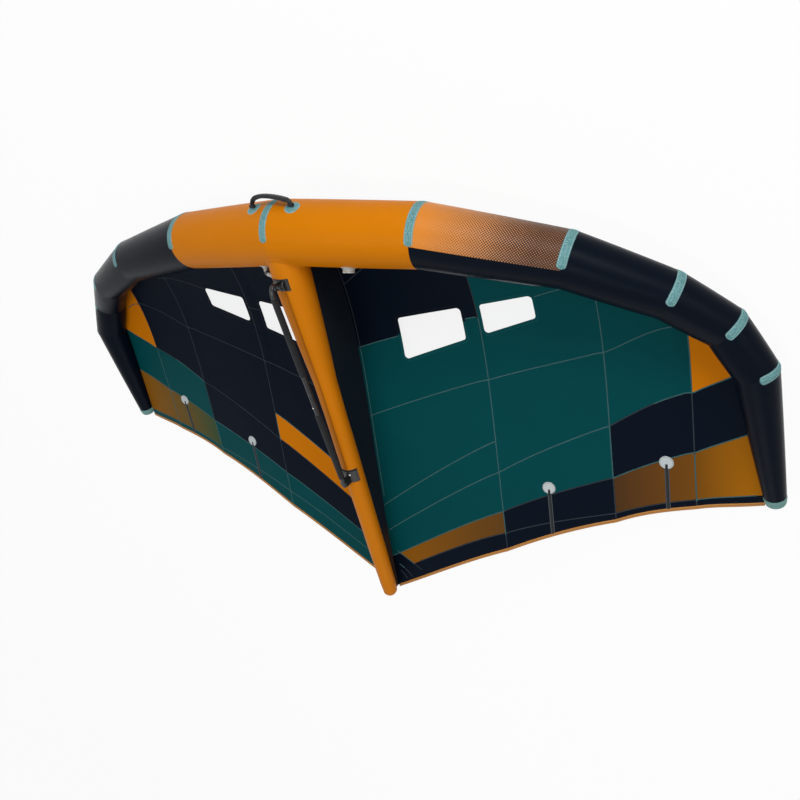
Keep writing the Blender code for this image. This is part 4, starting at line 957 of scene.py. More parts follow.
# For each side, by panel from the strut to the tip and by zone from the tube to the tail.
panel_dye = {
    1: (
        (NAVY, TEAL, TEAL, TEAL, TEAL, OCHRE, NAVY),
        (TEAL, TEAL, TEAL, TEAL, TEAL, NAVY, NAVY),
        (TEAL, TEAL, TEAL, TEAL, NAVY, BRONZE, NAVY),
        (ORANGE, ORANGE, ORANGE, ORANGE, NAVY, AMBER, NAVY),
    ),
    -1: (
        (NAVY, NAVY, NAVY, ORANGE, NAVY, TEAL, TEAL),
        (NAVY, NAVY, NAVY, NAVY, NAVY, TEAL, TEAL),
        (NAVY, NAVY, NAVY, NAVY, TEAL, OLIVE, TEAL),
        (ORANGE, ORANGE, ORANGE, ORANGE, TEAL, OLIVE, TEAL),
    ),
}


def dye_at(column, row):
    number = (signed_numbers[column] + signed_numbers[column + 1]) / 2
    return panel_dye[1 if number > 0 else -1][int(abs(number))][zone_of_row[row]]


places = [[(p.x, p.y - wing_y) for p in column] for column in sheet_columns]
canopy = skin("canopy_sheet", sheet_columns, places, canopy_finishes, slots=dye_at, flip=True)
canopy_tree = BVHTree.FromPolygons(
    [v.co.copy() for v in canopy.data.vertices], [tuple(face.vertices) for face in canopy.data.polygons]
)


def on_canopy(x, back, lift=0.0):
    """The place on the sheet over a point of the ground, lifted along the sheet's own upward side."""
    hit, normal = canopy_tree.ray_cast(Vector((x, wing_y - back, 1.0)), Vector((0.0, 0.0, -1.0)))[:2]
    if hit is None:
        hit, normal = canopy_tree.find_nearest(Vector((x, wing_y - back, 0.15)))[:2]
    return hit + (normal if normal.z > 0 else -normal) * lift


# Windows. Four panes of clear film let the rider see through. Each fills an opening with round corners
# that is cut out of the sheet, and a turned and twice stitched border of the panel's own cloth holds it.
window_corner = 0.016
# Near and far span, then the distance back of the front and rear edges at both.
window_places = {
    "inner": (0.215, panel_span[1] - 0.077, (0.460, 0.407), (0.642, 0.543)),
    "outer": (panel_span[1] + 0.006, panel_span[1] + 0.222, (0.392, 0.348), (0.517, 0.443)),
}


def window_outline(side, near, far, front, rear, grow=0.0, steps=5):
    """The pane's outline seen from above, corner by corner, as span and distance back."""
    corners = [
        Vector((near - grow, front[0] - grow)), Vector((far + grow, front[1] - grow)),
        Vector((far + grow, rear[1] + grow)), Vector((near - grow, rear[0] + grow)),
    ]
    outline = []
    for i, corner in enumerate(corners):
        before = (corners[i - 1] - corner).normalized()
        after = (corners[(i + 1) % 4] - corner).normalized()
        half = before.angle(after) / 2
        bend = window_corner + grow
        middle = corner + (before + after).normalized() * (bend / math.sin(half))
        start = corner + before * (bend / math.tan(half)) - middle
        end = corner + after * (bend / math.tan(half)) - middle
        for step in range(steps + 1):
            outline.append(middle + start.lerp(end, step / steps).normalized() * bend)
    return [Vector((side * p.x, wing_y - p.y)) for p in outline]


clear_film, clear_tree, clear_shader = new_finish(
    "clear_film", Roughness=0.09, Alpha=0.22, IOR=1.5, Coat_Weight=0.3, Coat_Roughness=0.05
)
ripple = add_node(clear_tree, "ShaderNodeTexNoise", {"Scale": 13.0, "Detail": 2.0, "Distortion": 0.6})
haze = add_node(clear_tree, "ShaderNodeTexNoise", {"Scale": 40.0, "Detail": 5.0})
for texture in (ripple, haze):
    clear_tree.links.new(place_on(clear_tree), texture.inputs["Vector"])
clear_tree.links.new(
    tinted(clear_tree, haze.outputs["Fac"], (0.86, 0.89, 0.90), (0.94, 0.95, 0.95)),
    clear_shader.inputs["Base Color"],
)
raise_surface(clear_tree, clear_shader, reckon(clear_tree, "MULTIPLY", ripple.outputs["Fac"], 0.0016))

work = bmesh.new()
work.from_mesh(canopy.data)
marks = work.loops.layers.uv["cloth"]
panes = {}


def split_sheet(a, b):
    """Cuts the sheet along an upright plane through two places, only near the stretch between them."""
    margin = 0.03
    low = Vector((min(a.x, b.x) - margin, min(a.y, b.y) - margin))
    high = Vector((max(a.x, b.x) + margin, max(a.y, b.y) + margin))
    near = [
        face for face in work.faces
        if any(low.x < v.co.x < high.x and low.y < v.co.y < high.y for v in face.verts)
    ]
    edges = {edge for face in near for edge in face.edges}
    parts = {*near, *edges, *(v for face in near for v in face.verts)}
    bmesh.ops.bisect_plane(
        work, geom=list(parts), dist=1e-6, plane_co=(a.x, a.y, 0.0), plane_no=(b.y - a.y, a.x - b.x, 0.0)
    )


def beside(point, a, b):
    """Above nought when a point lies to the left of the way from one place to another."""
    return (b.x - a.x) * (point.y - a.y) - (b.y - a.y) * (point.x - a.x)


def within(point, outline, slack=1e-9):
    """Whether a point lies inside an outline that bends only one way."""
    turns = [
        beside(point, a, b) for a, b in zip(outline, outline[1:] + outline[:1]) if (b - a).length > 1e-6
    ]
    return all(t < slack for t in turns) or all(t > -slack for t in turns)


# The ochre band ends towards the strut in a point, and the corner behind it is navy.
point_first, point_last = Vector((0.030, wing_y - 1.559)), Vector((0.145, wing_y - 1.642))
split_sheet(point_first, point_last)
for face in work.faces:
    middle = face.calc_center_median()
    if face.material_index == OCHRE and middle.x < 0.16 and beside(middle, point_first, point_last) < 0:
        face.material_index = NAVY
for side, side_name in side_names.items():
    for window, place in window_places.items():
        outline = window_outline(side, *place)
        for a, b in zip(outline, outline[1:] + outline[:1]):
            if (b - a).length > 1e-6:
                split_sheet(a, b)
        cut = [face for face in work.faces if within(face.calc_center_median(), outline)]
        panes[side, window] = [
            ([v.co.copy() for v in face.verts], [loop[marks].uv.copy() for loop in face.loops])
            for face in cut
        ]
        bmesh.ops.delete(work, geom=cut, context="FACES")
work.to_mesh(canopy.data)
work.free()
canopy.data.shade_smooth()
dress(canopy, "wing", "teal_cloth", *(
    f"canopy_{panel}_{side_name}" for side_name in side_names.values() for panel in (
        "centre_front", "centre_middle", "centre_rear", "second_front", "second_rear", "third_front",
        "third_rear", "tip",
    )
))


border_half, border_shift = 0.0075, 0.0062


def border_dye(x, back, number):
    """The dye of the panel that a place on the right half or left half lies in."""
    side = 1 if x > 0 else -1
    start, _, depth, *_ = batten_line(number)
    share = (start.y - (wing_y - back)) / depth
    zone = max(i for i, line in enumerate(line_names[:-1]) if share >= line_share(line, number) - 1e-6)
    return panel_dye[side][min(int(number), 3)][zone]


border_navy = sewn("border_navy", (0.0022, 0.0046, 0.0105), 0.5, (0.020, 0.028, 0.036), 0.0045, specular=0.03)
border_teal = sewn("border_teal", (0.0012, 0.060, 0.066), 0.5, (0.020, 0.100, 0.108), 0.0045, specular=0.03)
for (side, window), pane in panes.items():
    side_name = side_names[side]
    points, faces, found, film_marks = [], [], {}, []
    for corners, uvs in pane:
        face = []
        for corner in corners:
            key = tuple(round(c, 6) for c in corner)
            if key not in found:
                found[key] = len(points)
                points.append(corner)
            face.append(found[key])
        faces.append(face)
        film_marks += [n for uv in uvs for n in uv]
    film = cloth_mesh(f"film_{window}_{side_name}", points, faces, film_marks, [clear_film])
    dress(film, "wing", "clear_film", f"window_{window}_{side_name}")

    grid, places, dyes = [], [], []
    ring = window_outline(side, *window_places[window], steps=8)
    loop = [p for i, p in enumerate(ring) if (p - ring[i - 1]).length > 1e-6]
    dense = []
    for a, b in zip(loop, loop[1:] + loop[:1]):
        pieces = max(1, round((b - a).length / 0.008))
        dense += [a.lerp(b, i / pieces) for i in range(pieces)]
    length = 0.0
    for i in range(len(dense) + 1):
        here, ahead, behind = dense[i % len(dense)], dense[(i + 1) % len(dense)], dense[i - 1]
        way = (ahead - behind).normalized()
        out = Vector((way.y, -way.x))
        row, marks_row = [], []
        for offset, lift in (
            (-1.0, -0.0003), (-1.0, 0.0005), (-0.8, 0.0008), (0.0, 0.0009), (0.8, 0.0008),
            (1.0, 0.0005), (1.0, -0.0003), (0.0, -0.0006), (-1.0, -0.0003),
        ):
            spot = here - out * (side * (offset * border_half + border_shift))
            row.append(on_canopy(spot.x, wing_y - spot.y, lift))
            marks_row.append((length, offset * border_half))
        grid.append(row)
        places.append(marks_row)
        number = float(np.interp(abs(here.x), panel_span[:4], panel_number[:4]))
        dyes.append(0 if border_dye(here.x, wing_y - here.y, number) == NAVY else 1)
        length += (ahead - here).length
    name = f"window_border_{window}_{side_name}"
    made = skin(name, grid, places, [border_navy, border_teal], slots=lambda row, _: dyes[row])
    dress(made, "wing", "teal_cloth")


# Panel seams. Each colour panel is lapped over the next and held by a grey zigzag, which shows as a thin
# pale line. Short darts at the tube and arcs at the strut's tail strengthen the corners.
def zigzag():
    """A zigzag of thread down the middle of a narrow seam."""
    group, given, made = effect_group(
        "zigzag",
        (("Place", "NodeSocketVector", None),),
        (("Mask", "NodeSocketFloat"), ("Height", "NodeSocketFloat")),
    )
    place = add_node(group, "ShaderNodeSeparateXYZ")
    group.links.new(given.outputs["Place"], place.inputs[0])
    sway = reckon(group, "PINGPONG", place.outputs["X"], 0.003)
    target = reckon(group, "MULTIPLY_ADD", sway, 1.3, -0.00195)
    off = reckon(group, "ABSOLUTE", reckon(group, "SUBTRACT", place.outputs["Y"], target))
    mask = ranged(group, off, 0.0004, 0.0010, 1.0, 0.0)
    group.links.new(mask, made.inputs["Mask"])
    group.links.new(reckon(group, "MULTIPLY", mask, 0.0003), made.inputs["Height"])
    return group


zigzag_effect = zigzag()


def seam_finish(name, cloth, thread):
    made, tree, shader = new_finish(name, Specular_IOR_Level=0.05)
    place = place_on(tree)
    weave = use_effect(tree, weave_effect, place, Colour=cloth, Roughness=0.55)
    thread_line = use_effect(tree, zigzag_effect, place)
    shown = tinted(tree, thread_line.outputs["Mask"], weave.outputs["Colour"], thread)
    wear_effect(tree, shader, weave, shown, thread_line.outputs["Height"])
    return made


seam_on_teal = seam_finish("seam_on_teal", (0.016, 0.080, 0.085), (0.12, 0.20, 0.205))
seam_on_navy = seam_finish("seam_on_navy", (0.012, 0.018, 0.025), (0.070, 0.084, 0.098))
seam_half = 0.0024


def strip_on_canopy(points, half, profile, side):
    """Grid and places of a narrow strip laid along a line of the right half, span and distance back."""
    flat = [Vector((x, back)) for x, back in points]
    grid, places, length = [], [], 0.0
    for i, here in enumerate(flat):
        way = (flat[min(i + 1, len(flat) - 1)] - flat[max(i - 1, 0)]).normalized()
        across = Vector((way.y, -way.x))
        row = []
        for offset, lift in profile:
            spot = here + across * (offset * half)
            row.append(on_canopy(side * max(spot.x, 0.0015), spot.y, lift))
        grid.append(row)
        places.append([(length, offset * half) for offset, _ in profile])
        if i + 1 < len(flat):
            length += (flat[i + 1] - here).length
    return grid, places


closed_profile = (
    (-1.0, 0.0), (-0.85, 0.00055), (0.0, 0.0008), (0.85, 0.00055), (1.0, 0.0),
    (0.85, -0.0006), (0.0, -0.0008), (-0.85, -0.0006), (-1.0, 0.0),
)


def plan(number, share):
    point = sheet_point(number, share)
    return point.x, wing_y - point.y


def line_path(line, first, last, steps):
    return [plan(n, line_share(line, n)) for n in np.linspace(first, last, steps + 1)]


def down_path(number, near, far, steps):
    return [plan(number, near + (far - near) * i / steps) for i in range(steps + 1)]


def bowed_path(start, run, bow, steps):
    """A short path from a start, across and back by a run, that bows to one side on the way."""
    return [
        (start[0] + run[0] * t + bow[0] * t * (1 - t), start[1] + run[1] * t + bow[1] * t * (1 - t))
        for t in np.linspace(0, 1, steps + 1)
    ]


near_strut = 0.006
common_seams = [
    ("first", near_strut, 2.15, 180), ("second", near_strut, 3.6, 240), ("fourth", near_strut, 3.97, 260),
    ("fifth", near_strut, 3.97, 260), ("sixth", 0.25, 3.9, 240),
]
for side, side_name in side_names.items():
    paths = [line_path(*seam) for seam in common_seams]
    paths.append(line_path("third", near_strut, 1.0, 80))
    paths += [down_path(1.0, 0.06, 1.0, 160), down_path(2.0, 0.05, 1.0, 130), down_path(3.0, 0.04, 1.0, 110)]
    paths.append(bowed_path((0.012, 0.312), (0.128, -0.080), (0.0, 0.0), 12))
    paths.append(bowed_path((0.010, 0.10), (0.0, 1.18), (0.0, 0.0), 120))
    if side > 0:
        paths += [
            bowed_path((0.029, 1.631), (0.058, 0.059), (0.012, -0.016), 11),
            bowed_path((0.029, 1.667), (0.029, 0.039), (0.006, -0.008), 7),
            bowed_path((0.030, 1.559), (0.115, 0.083), (0.0, 0.0), 13),
        ]
    parts = []
    holes = [window_outline(1, *place, grow=0.004) for place in window_places.values()]
    for path in paths:
        run = []
        for x, back in path:
            past_tail = back > 1.742 and x < 0.3
            if past_tail or any(within(Vector((x, wing_y - back)), hole) for hole in holes):
                if len(run) > 2:
                    parts.append(strip_on_canopy(run, seam_half, closed_profile, side))
                run = []
            else:
                run.append((x, back))
        if len(run) > 2:
            parts.append(strip_on_canopy(run, seam_half, closed_profile, side))
    rows_before, faces, marks, points, chosen = 0, [], [], [], []
    for grid, places in parts:
        width = len(grid[0])
        for r in range(len(grid) - 1):
            for c in range(width - 1):
                corners = [(r, c), (r, c + 1), (r + 1, c + 1), (r + 1, c)]
                faces.append([rows_before + row * width + column for row, column in corners])
                marks += [n for row, column in corners for n in places[row][column]]
                here = grid[r][0]
                number = float(np.interp(abs(here.x), panel_span, panel_number))
                dye = border_dye(here.x, wing_y - here.y, min(number, 3.0)) if number <= 3 else ORANGE
                chosen.append(1 if dye == NAVY else 0)
        points += [p for row in grid for p in row]
        rows_before += len(grid) * width
    name = f"panel_seams_{side_name}"
    made = cloth_mesh(name, points, faces, marks, [seam_on_teal, seam_on_navy], chosen)
    dress(made, "wing", "teal_cloth")


# Trailing edge tape. A narrow orange binding is folded over the sheet's rear edge and sewn through, and
# it runs from the strut's tail to each tip.
def tape_paint(tree, place):
    """A darker line along the middle, where the thin cord inside the fold shows through."""
    spread = add_node(tree, "ShaderNodeSeparateXYZ")
    tree.links.new(place, spread.inputs[0])
    off = reckon(tree, "ABSOLUTE", reckon(tree, "ADD", spread.outputs["Y"], 0.0006))
    cord = ranged(tree, off, 0.0003, 0.0012, 1.0, 0.0)
    return tinted(tree, cord, (0.46, 0.185, 0.028), (0.20, 0.075, 0.014))


tape_cloth = sewn("tape_cloth", tape_paint, 0.55, (0.52, 0.24, 0.05), 0.0042, step=0.003)
tape_profile = (
    (-0.0040, 0.0004), (-0.0036, 0.0010), (0.0010, 0.0012), (0.0050, 0.0011), (0.0098, 0.0009),
    (0.0112, 0.0), (0.0098, -0.0014), (0.0050, -0.0018), (0.0010, -0.0018), (-0.0036, -0.0012),
    (-0.0040, -0.0006),
)
for side, side_name in side_names.items():
    grid, places, length = [], [], 0.0
    before = None
    for number in np.linspace(0.012, 4.0, 150):
        depth = abs(canopy_point(number, 0.0).y - canopy_point(number, 1.0).y)
        row, marks_row = [], []
        for reach, lift in tape_profile:
            point = canopy_point(number, 1 + reach / depth) + upright * lift
            row.append(Vector((side * point.x, point.y, max(point.z, 0.0002))))
            marks_row.append(reach - 0.0036)
        here = canopy_point(number, 1.0)
        length += (here - before).length if before else 0.0
        before = here
        grid.append(row)
        places.append([(length, across) for across in marks_row])
    made = skin(f"edge_tape_{side_name}", grid, places, [tape_cloth], flip=side > 0)
    dress(made, "wing", "orange_cloth", f"trailing_tape_{side_name}")


# Battens. Two stiff rods on each side keep the trailing edge from fluttering. Each slides into a narrow
# pocket between two lines of stitching, and a stiff round patch guards the pocket's mouth.
pocket_cloth = woven("pocket_cloth", (0.0030, 0.0040, 0.0058), 0.5, 0.3)
piping_cloth = woven("piping_cloth", (0.050, 0.060, 0.068), 0.55, 0.3)
patch_film = sewn(
    "patch_film", (0.52, 0.56, 0.57), 0.42, (0.33, 0.37, 0.38), 0.0010, step=0.003, specular=0.4
)
mouth_cloth = woven("mouth_cloth", (0.006, 0.008, 0.010), 0.6, 0.2)
patch_radius, patch_sides = 0.026, 48
patch_profile = (
    (1.0, 0.0002), (0.99, 0.0016), (0.955, 0.0025), (0.90, 0.0027),
    (0.86, 0.0024), (0.6, 0.0025), (0.3, 0.0026), (0.02, 0.0026),
)
pocket_profile = (
    (-1.0, 0.0006), (-0.85, 0.0019), (-0.5, 0.0028), (0.0, 0.0031), (0.5, 0.0028), (0.85, 0.0019),
    (1.0, 0.0006), (0.5, -0.0004), (-0.5, -0.0004), (-1.0, 0.0006),
)
mouth_profile = ((-1.0, 0.0024), (-0.8, 0.0034), (0.0, 0.0040), (0.8, 0.0034), (1.0, 0.0024))
batten_places = ((1.442, 0.837), (2.661, 0.791))
for side, side_name in side_names.items():
    for count, (number, share) in enumerate(batten_places, 1):
        front, rear = canopy_point(number, share), canopy_point(number, 1.0)
        run = Vector((rear.x - front.x, front.y - rear.y))
        path = [(front.x + run.x * t, wing_y - front.y + run.y * t) for t in np.linspace(0.045, 0.985, 60)]
        grid, places = strip_on_canopy(path, 0.0040, pocket_profile, side)
        node = f"batten_{side_name}_{count}"
        made = skin(f"batten_pocket_{side_name}_{count}", grid, places, [pocket_cloth], flip=side < 0)
        dress(made, "wing", "pale_patch", node)
        for edge in (-1, 1):
            beside_path = [(x + edge * 0.0062, back) for x, back in path]
            grid, places = strip_on_canopy(beside_path, 0.0021, closed_profile, side)
            name = f"batten_piping_{side_name}_{count}_{'outer' if edge > 0 else 'inner'}"
            dress(skin(name, grid, places, [piping_cloth], flip=side < 0), "wing", "pale_patch")
        grid, places = [], []
        for ring_share, lift in patch_profile:
            row = []
            for turn in full_turn(patch_sides):
                x = front.x + patch_radius * ring_share * math.sin(turn)
                back = wing_y - front.y + patch_radius * ring_share * math.cos(turn)
                row.append(on_canopy(side * x, back, lift))
            grid.append(row)
            places.append(round_places(patch_sides, patch_radius, patch_radius * (ring_share - 0.88)))
        name = f"batten_patch_{side_name}_{count}"
        made = skin(name, grid, places, [patch_film], closed=True, flip=side < 0)
        dress(made, "wing", "pale_patch", node)
        way = run.normalized()
        mouth = [(front.x + way.x * d, wing_y - front.y + way.y * d) for d in np.linspace(0.006, 0.0275, 9)]
        grid, places = strip_on_canopy(mouth, 0.0048, mouth_profile, side)
        made = skin(f"batten_mouth_{side_name}_{count}", grid, places, [mouth_cloth], flip=side < 0)
        dress(made, "wing", "pale_patch", node)


# Web. A single flat panel of navy cloth hangs from the strut's underside, and holds the canopy along its
# centre seam, from the tube to the tail.
def web_paint(tree, place):
    """Navy that turns browner towards the strut's tail."""
    spread = add_node(tree, "ShaderNodeSeparateXYZ")
    tree.links.new(place, spread.inputs[0])
    browner = ranged(tree, spread.outputs["X"], 1.40, 1.50, 0.0, 1.0)
    return tinted(tree, browner, (0.0035, 0.006, 0.011), (0.030, 0.013, 0.007))


web_cloth = woven("web_cloth", web_paint, 0.5, 0.25, crease=0.0006)
web_rows, web_gap = 16, 0.0003
reach = seam_radius[0] + 0.0011
nose, tail = canopy_point(0.0, 0.0), canopy_point(0.0, 1.0)
grid, places = [], []
for back in [-0.060 + 0.012 * i for i in range(15)] + list(np.linspace(0.125, 1.754, 120)):
    share = float(np.clip((nose.y - (wing_y - back)) / (nose.y - tail.y), 0.0, 1.0))
    low = canopy_point(0.0, share).z - web_gap
    under_tube = seam_rise[0] - math.sqrt(reach * reach - back * back) if abs(back) < reach else 1.0
    high = max(low, min(under_tube, strut_rise - strut_radius(max(back, strut_back)) - web_gap))
    rises = [low + (high - low) * i / web_rows for i in range(web_rows + 1)]
    grid.append([Vector((0.0, wing_y - back, rise)) for rise in rises])
    places.append([(back, p.z) for p in grid[-1]])
web_panel = skin("web_panel", grid, places, [web_cloth])
dress(web_panel, "wing", "navy_cloth", "strut_web")


# Front handle. A padded strap of black webbing in a soft sleeve arches over the tube's front. Its two
# ends turn on small rolled loops, and each loop is sewn down on a round green patch.
handle_data = next(j for j in frame["record"]["behaviour"]["joints"] if j["name"] == "handle_flop")
handle_axis = Vector(handle_data["pos_m"])
seat_tilt, hang_tilt = math.radians(20), math.radians(-14)
seat_out = Vector((0.0, math.cos(seat_tilt), math.sin(seat_tilt)))
handle_aside, handle_half, handle_rise = 0.012, 0.087, 0.0345


def over_front(span, height):
    """A place over the tube's front, on the line that the handle's two ends stand on."""
    along = abs(span) / seam_span[1]
    seat = seam_axis[0].lerp(seam_axis[1], along)
    seat.x = span
    return seat + seat_out * (seam_radius[0] + (seam_radius[1] - seam_radius[0]) * along + height)


seat_ends = [over_front(handle_aside + end * handle_half, 0.0) for end in (-1, 1)]
handle_across = (seat_ends[1] - seat_ends[0]).normalized()
handle_reach = (seat_ends[1] - seat_ends[0]).length / 2
hanging = Vector((0.0, math.cos(hang_tilt), math.sin(hang_tilt)))
handle_out = (hanging - handle_across * hanging.dot(handle_across)).normalized()
flat_way = handle_across.cross(handle_out)


def strap_cloth(name, colour, sheen):
    """Heavy webbing with a soft grey bloom on the parts that hands rub."""
    made, tree, shader = new_finish(name, Specular_IOR_Level=0.2, Sheen_Weight=sheen, Sheen_Roughness=0.4)
    place = place_on(tree)
    worn = add_node(tree, "ShaderNodeTexNoise", {"Scale": 60.0, "Detail": 4.0})
    tree.links.new(place, worn.inputs["Vector"])
    bloom = ranged(tree, worn.outputs["Fac"], 0.45, 0.75, 0.0, 0.6)
    rubbed = tinted(tree, bloom, colour, (0.022, 0.023, 0.026))
    weave = use_effect(
        tree, weave_effect, place, Colour=rubbed, Roughness=0.52, Thread=0.0022, Ripstop=0.004, Crease=0.0006
    )
    wear_effect(tree, shader, weave, None, weave.outputs["Height"])
    return made


black_strap = strap_cloth("black_strap", (0.010, 0.011, 0.013), 0.10)


def arch_at(turn):
    """The strap's middle line. Its own stiffness makes it stand highest left of the middle."""
    along = -math.cos(turn)
    lift = math.sin(turn) ** 0.8 * (1.0 - 0.30 * along - 0.10 * (1 - along * along))
    return handle_axis + handle_across * (handle_reach * along) + handle_out * (handle_rise * min(lift, 1.02))


def strap_rings(first, last, steps, wide, thick, sides, rounded=2.6):
    """Rings along the handle's arch, each a flat oval with rounded corners."""
    grid, places, length = [], [], 0.0
    before = None
    for i in range(steps + 1):
        turn = first + (last - first) * i / steps
        ahead, behind = min(turn + 0.02, math.pi), max(turn - 0.02, 0.0)
        heading = (arch_at(ahead) - arch_at(behind)).normalized()
        upward = flat_way.cross(heading)
        middle = arch_at(turn)
        length += (middle - before).length if before else 0.0
        before = middle
        half_wide, half_thick = wide(turn) / 2, thick(turn) / 2
        row = []
        for round_turn in full_turn(sides):
            c, s = math.cos(round_turn), math.sin(round_turn)
            across = math.copysign(abs(c) ** (2 / rounded), c)
            deep = math.copysign(abs(s) ** (2 / rounded), s)
            row.append(middle + flat_way * (half_wide * across) + upward * (half_thick * deep))
        grid.append(row)
        places.append([(length, j * 0.0024) for j in range(sides + 1)])
    return grid, places


def strap_wide(turn):
    return 0.0300 * min(1.0, 0.52 + 0.9 * math.sin(turn))


def strap_thick(turn):
    return 0.0050 + 0.0035 * min(1.0, math.sin(turn) * 2)


pad_start = 0.55


def pad_swell(turn):
    near_end = min(turn - pad_start, math.pi - pad_start - turn)
    return min(1.0, max(0.0, near_end / 0.16)) ** 0.4


def pad_wide(turn):
    return 0.0270 + 0.0060 * pad_swell(turn)


def pad_thick(turn):
    ribs = 0.0005 * math.sin(turn * 34)
    return 0.0095 + (0.0064 + ribs) * pad_swell(turn)


grid, places = strap_rings(0.0, math.pi, 56, strap_wide, strap_thick, 24, 4.0)
strap = skin("handle_strap", grid, places, [black_strap], closed=True)
dress(strap, "handle", "black_foam", "front_handle")
grid, places = strap_rings(pad_start, math.pi - pad_start, 90, pad_wide, pad_thick, 32)
black_pad = strap_cloth("black_pad", (0.012, 0.013, 0.015), 0.14)
pad = skin("handle_pad", grid, places, [black_pad], closed=True)
dress(pad, "handle", "black_foam", "front_handle")
loop_half, loop_radius, loop_sides = 0.0098, 0.0070, 24
end_names = {-1: "left", 1: "right"}
for end, end_name in end_names.items():
    middle = handle_axis + handle_across * (end * handle_reach)
    grid, places = [], []
    for reach, radius in (
        (-1.0, 0.3), (-1.0, 0.88), (-0.97, 0.97), (-0.9, 1.0), (0.0, 1.0),
        (0.9, 1.0), (0.97, 0.97), (1.0, 0.88), (1.0, 0.3),
    ):
        row = []
        for turn in full_turn(loop_sides):
            out = handle_out * math.cos(turn) + flat_way * math.sin(turn)
            row.append(middle + handle_across * (reach * loop_half) + out * (radius * loop_radius))
        grid.append(row)
        places.append(round_places(loop_sides, loop_radius, reach * loop_half))
    made = skin(f"handle_loop_{end_name}", grid, places, [black_strap], closed=True, flip=True)
    dress(made, "handle", "black_foam", "front_handle")

anchor_cloth = sewn("anchor_cloth", pebbled, 0.6, (0.34, 0.50, 0.50), 0.0016, specular=0.3)
anchor_radius, anchor_sides = 0.029, 56
anchor_up = handle_across.cross(seat_out).normalized()
for end, end_name in end_names.items():
    middle = over_front(handle_aside + end * handle_half, 0.0)
    grid, places = [], []
    for share, lift in (
        (1.0, 0.0001), (0.99, 0.0017), (0.95, 0.0026), (0.88, 0.0028),
        (0.84, 0.0026), (0.55, 0.0028), (0.25, 0.0028), (0.02, 0.0028),
    ):
        row = []
        for turn in full_turn(anchor_sides):
            slant = handle_across * math.cos(turn) + anchor_up * math.sin(turn)
            spot = middle + slant * (share * anchor_radius)
            along = min(abs(spot.x) / seam_span[1], 1.0)
            axis = seam_axis[0].lerp(seam_axis[1], along)
            axis.x = spot.x
            skin_radius = seam_radius[0] + (seam_radius[1] - seam_radius[0]) * along
            row.append(axis + (spot - axis).normalized() * (skin_radius + lift))
        grid.append(row)
        places.append(round_places(anchor_sides, anchor_radius, anchor_radius * (share - 0.91)))
    made = skin(f"handle_patch_{end_name}", grid, places, [anchor_cloth], closed=True)
    dress(made, "wing", "teal_rubber", f"handle_anchor_{end_name}")


# Inflation valve. A moulded pale rubber flange is welded into the tube's rear side, at the right of the
# strut, and carries a screwed collar with a round cap on a small hinge.
def moulded():
    """The faint pebble, soiling and flow marks of a moulded part."""
    group, given, made = effect_group(
        "moulded",
        (
            ("Place", "NodeSocketVector", None),
            ("Colour", "NodeSocketColor", (0.5, 0.5, 0.5, 1.0)),
            ("Worn", "NodeSocketColor", (0.5, 0.5, 0.5, 1.0)),
            ("Roughness", "NodeSocketFloat", 0.4),
            ("Grain", "NodeSocketFloat", 0.00006),
        ),
        (("Colour", "NodeSocketColor"), ("Roughness", "NodeSocketFloat"), ("Height", "NodeSocketFloat")),
    )
    pebble = add_node(group, "ShaderNodeTexVoronoi", {"Scale": 900.0})
    soil = add_node(group, "ShaderNodeTexNoise", {"Scale": 70.0, "Detail": 5.0, "Roughness": 0.62})
    smear = add_node(group, "ShaderNodeTexNoise", {"Scale": 18.0, "Detail": 3.0, "Distortion": 0.8})
    for texture in (pebble, soil, smear):
        group.links.new(given.outputs["Place"], texture.inputs["Vector"])
    worn = ranged(group, soil.outputs["Fac"], 0.52, 0.72, 0.0, 0.55)
    shown = tinted(group, worn, given.outputs["Colour"], given.outputs["Worn"])
    group.links.new(shown, made.inputs["Colour"])
    smeared = reckon(group, "SUBTRACT", smear.outputs["Fac"], 0.5)
    rough = reckon(group, "MULTIPLY_ADD", smeared, 0.3, given.outputs["Roughness"])
    rough = reckon(group, "MULTIPLY_ADD", worn, 0.12, rough, clamp=True)
    group.links.new(rough, made.inputs["Roughness"])
    height = reckon(group, "MULTIPLY", pebble.outputs["Distance"], given.outputs["Grain"])
    group.links.new(height, made.inputs["Height"])
    return group


moulded_effect = moulded()


def moulded_finish(name, colour, worn, roughness, grain=0.00006, metallic=0.0, specular=0.5):
    made, tree, shader = new_finish(name, Metallic=metallic, Specular_IOR_Level=specular)
    place = place_on(tree, "Object")
    effect = use_effect(
        tree, moulded_effect, place, Colour=colour, Worn=worn, Roughness=roughness, Grain=grain
    )
    wear_effect(tree, shader, effect)
    return made


pale_rubber = moulded_finish("pale_moulding", (0.50, 0.50, 0.46), (0.40, 0.39, 0.35), 0.42)
repaint(pale_rubber, "inflation_valve", "valve_cap")
valve_tilt = math.radians(23)
valve_out = Vector((0.0, -math.cos(valve_tilt), math.sin(valve_tilt)))
valve_along = 0.260 / seam_span[1]
valve_middle = seam_axis[0].lerp(seam_axis[1], valve_along)
valve_middle += valve_out * (seam_radius[0] + (seam_radius[1] - seam_radius[0]) * valve_along)


def turned(name, middle, axis, level, profile, finish, body, slot, sides=48, ribs=0, rib_depth=0.0):
    """A turned piece about an axis, from radius and height along it, with shallow ribs where asked."""
    other = axis.cross(level)
    grid, places = [], []
    for radius, height in profile:
        row = []
        for turn in full_turn(sides):
            out = radius + rib_depth * math.cos(ribs * turn)
            spot = middle + level * (out * math.cos(turn)) + other * (out * math.sin(turn))
            row.append(spot + axis * height)
        grid.append(row)
        places.append(round_places(sides, 0.01, height + radius))
    made = skin(name, grid, places, [finish], closed=True)
    return dress(made, body, slot)


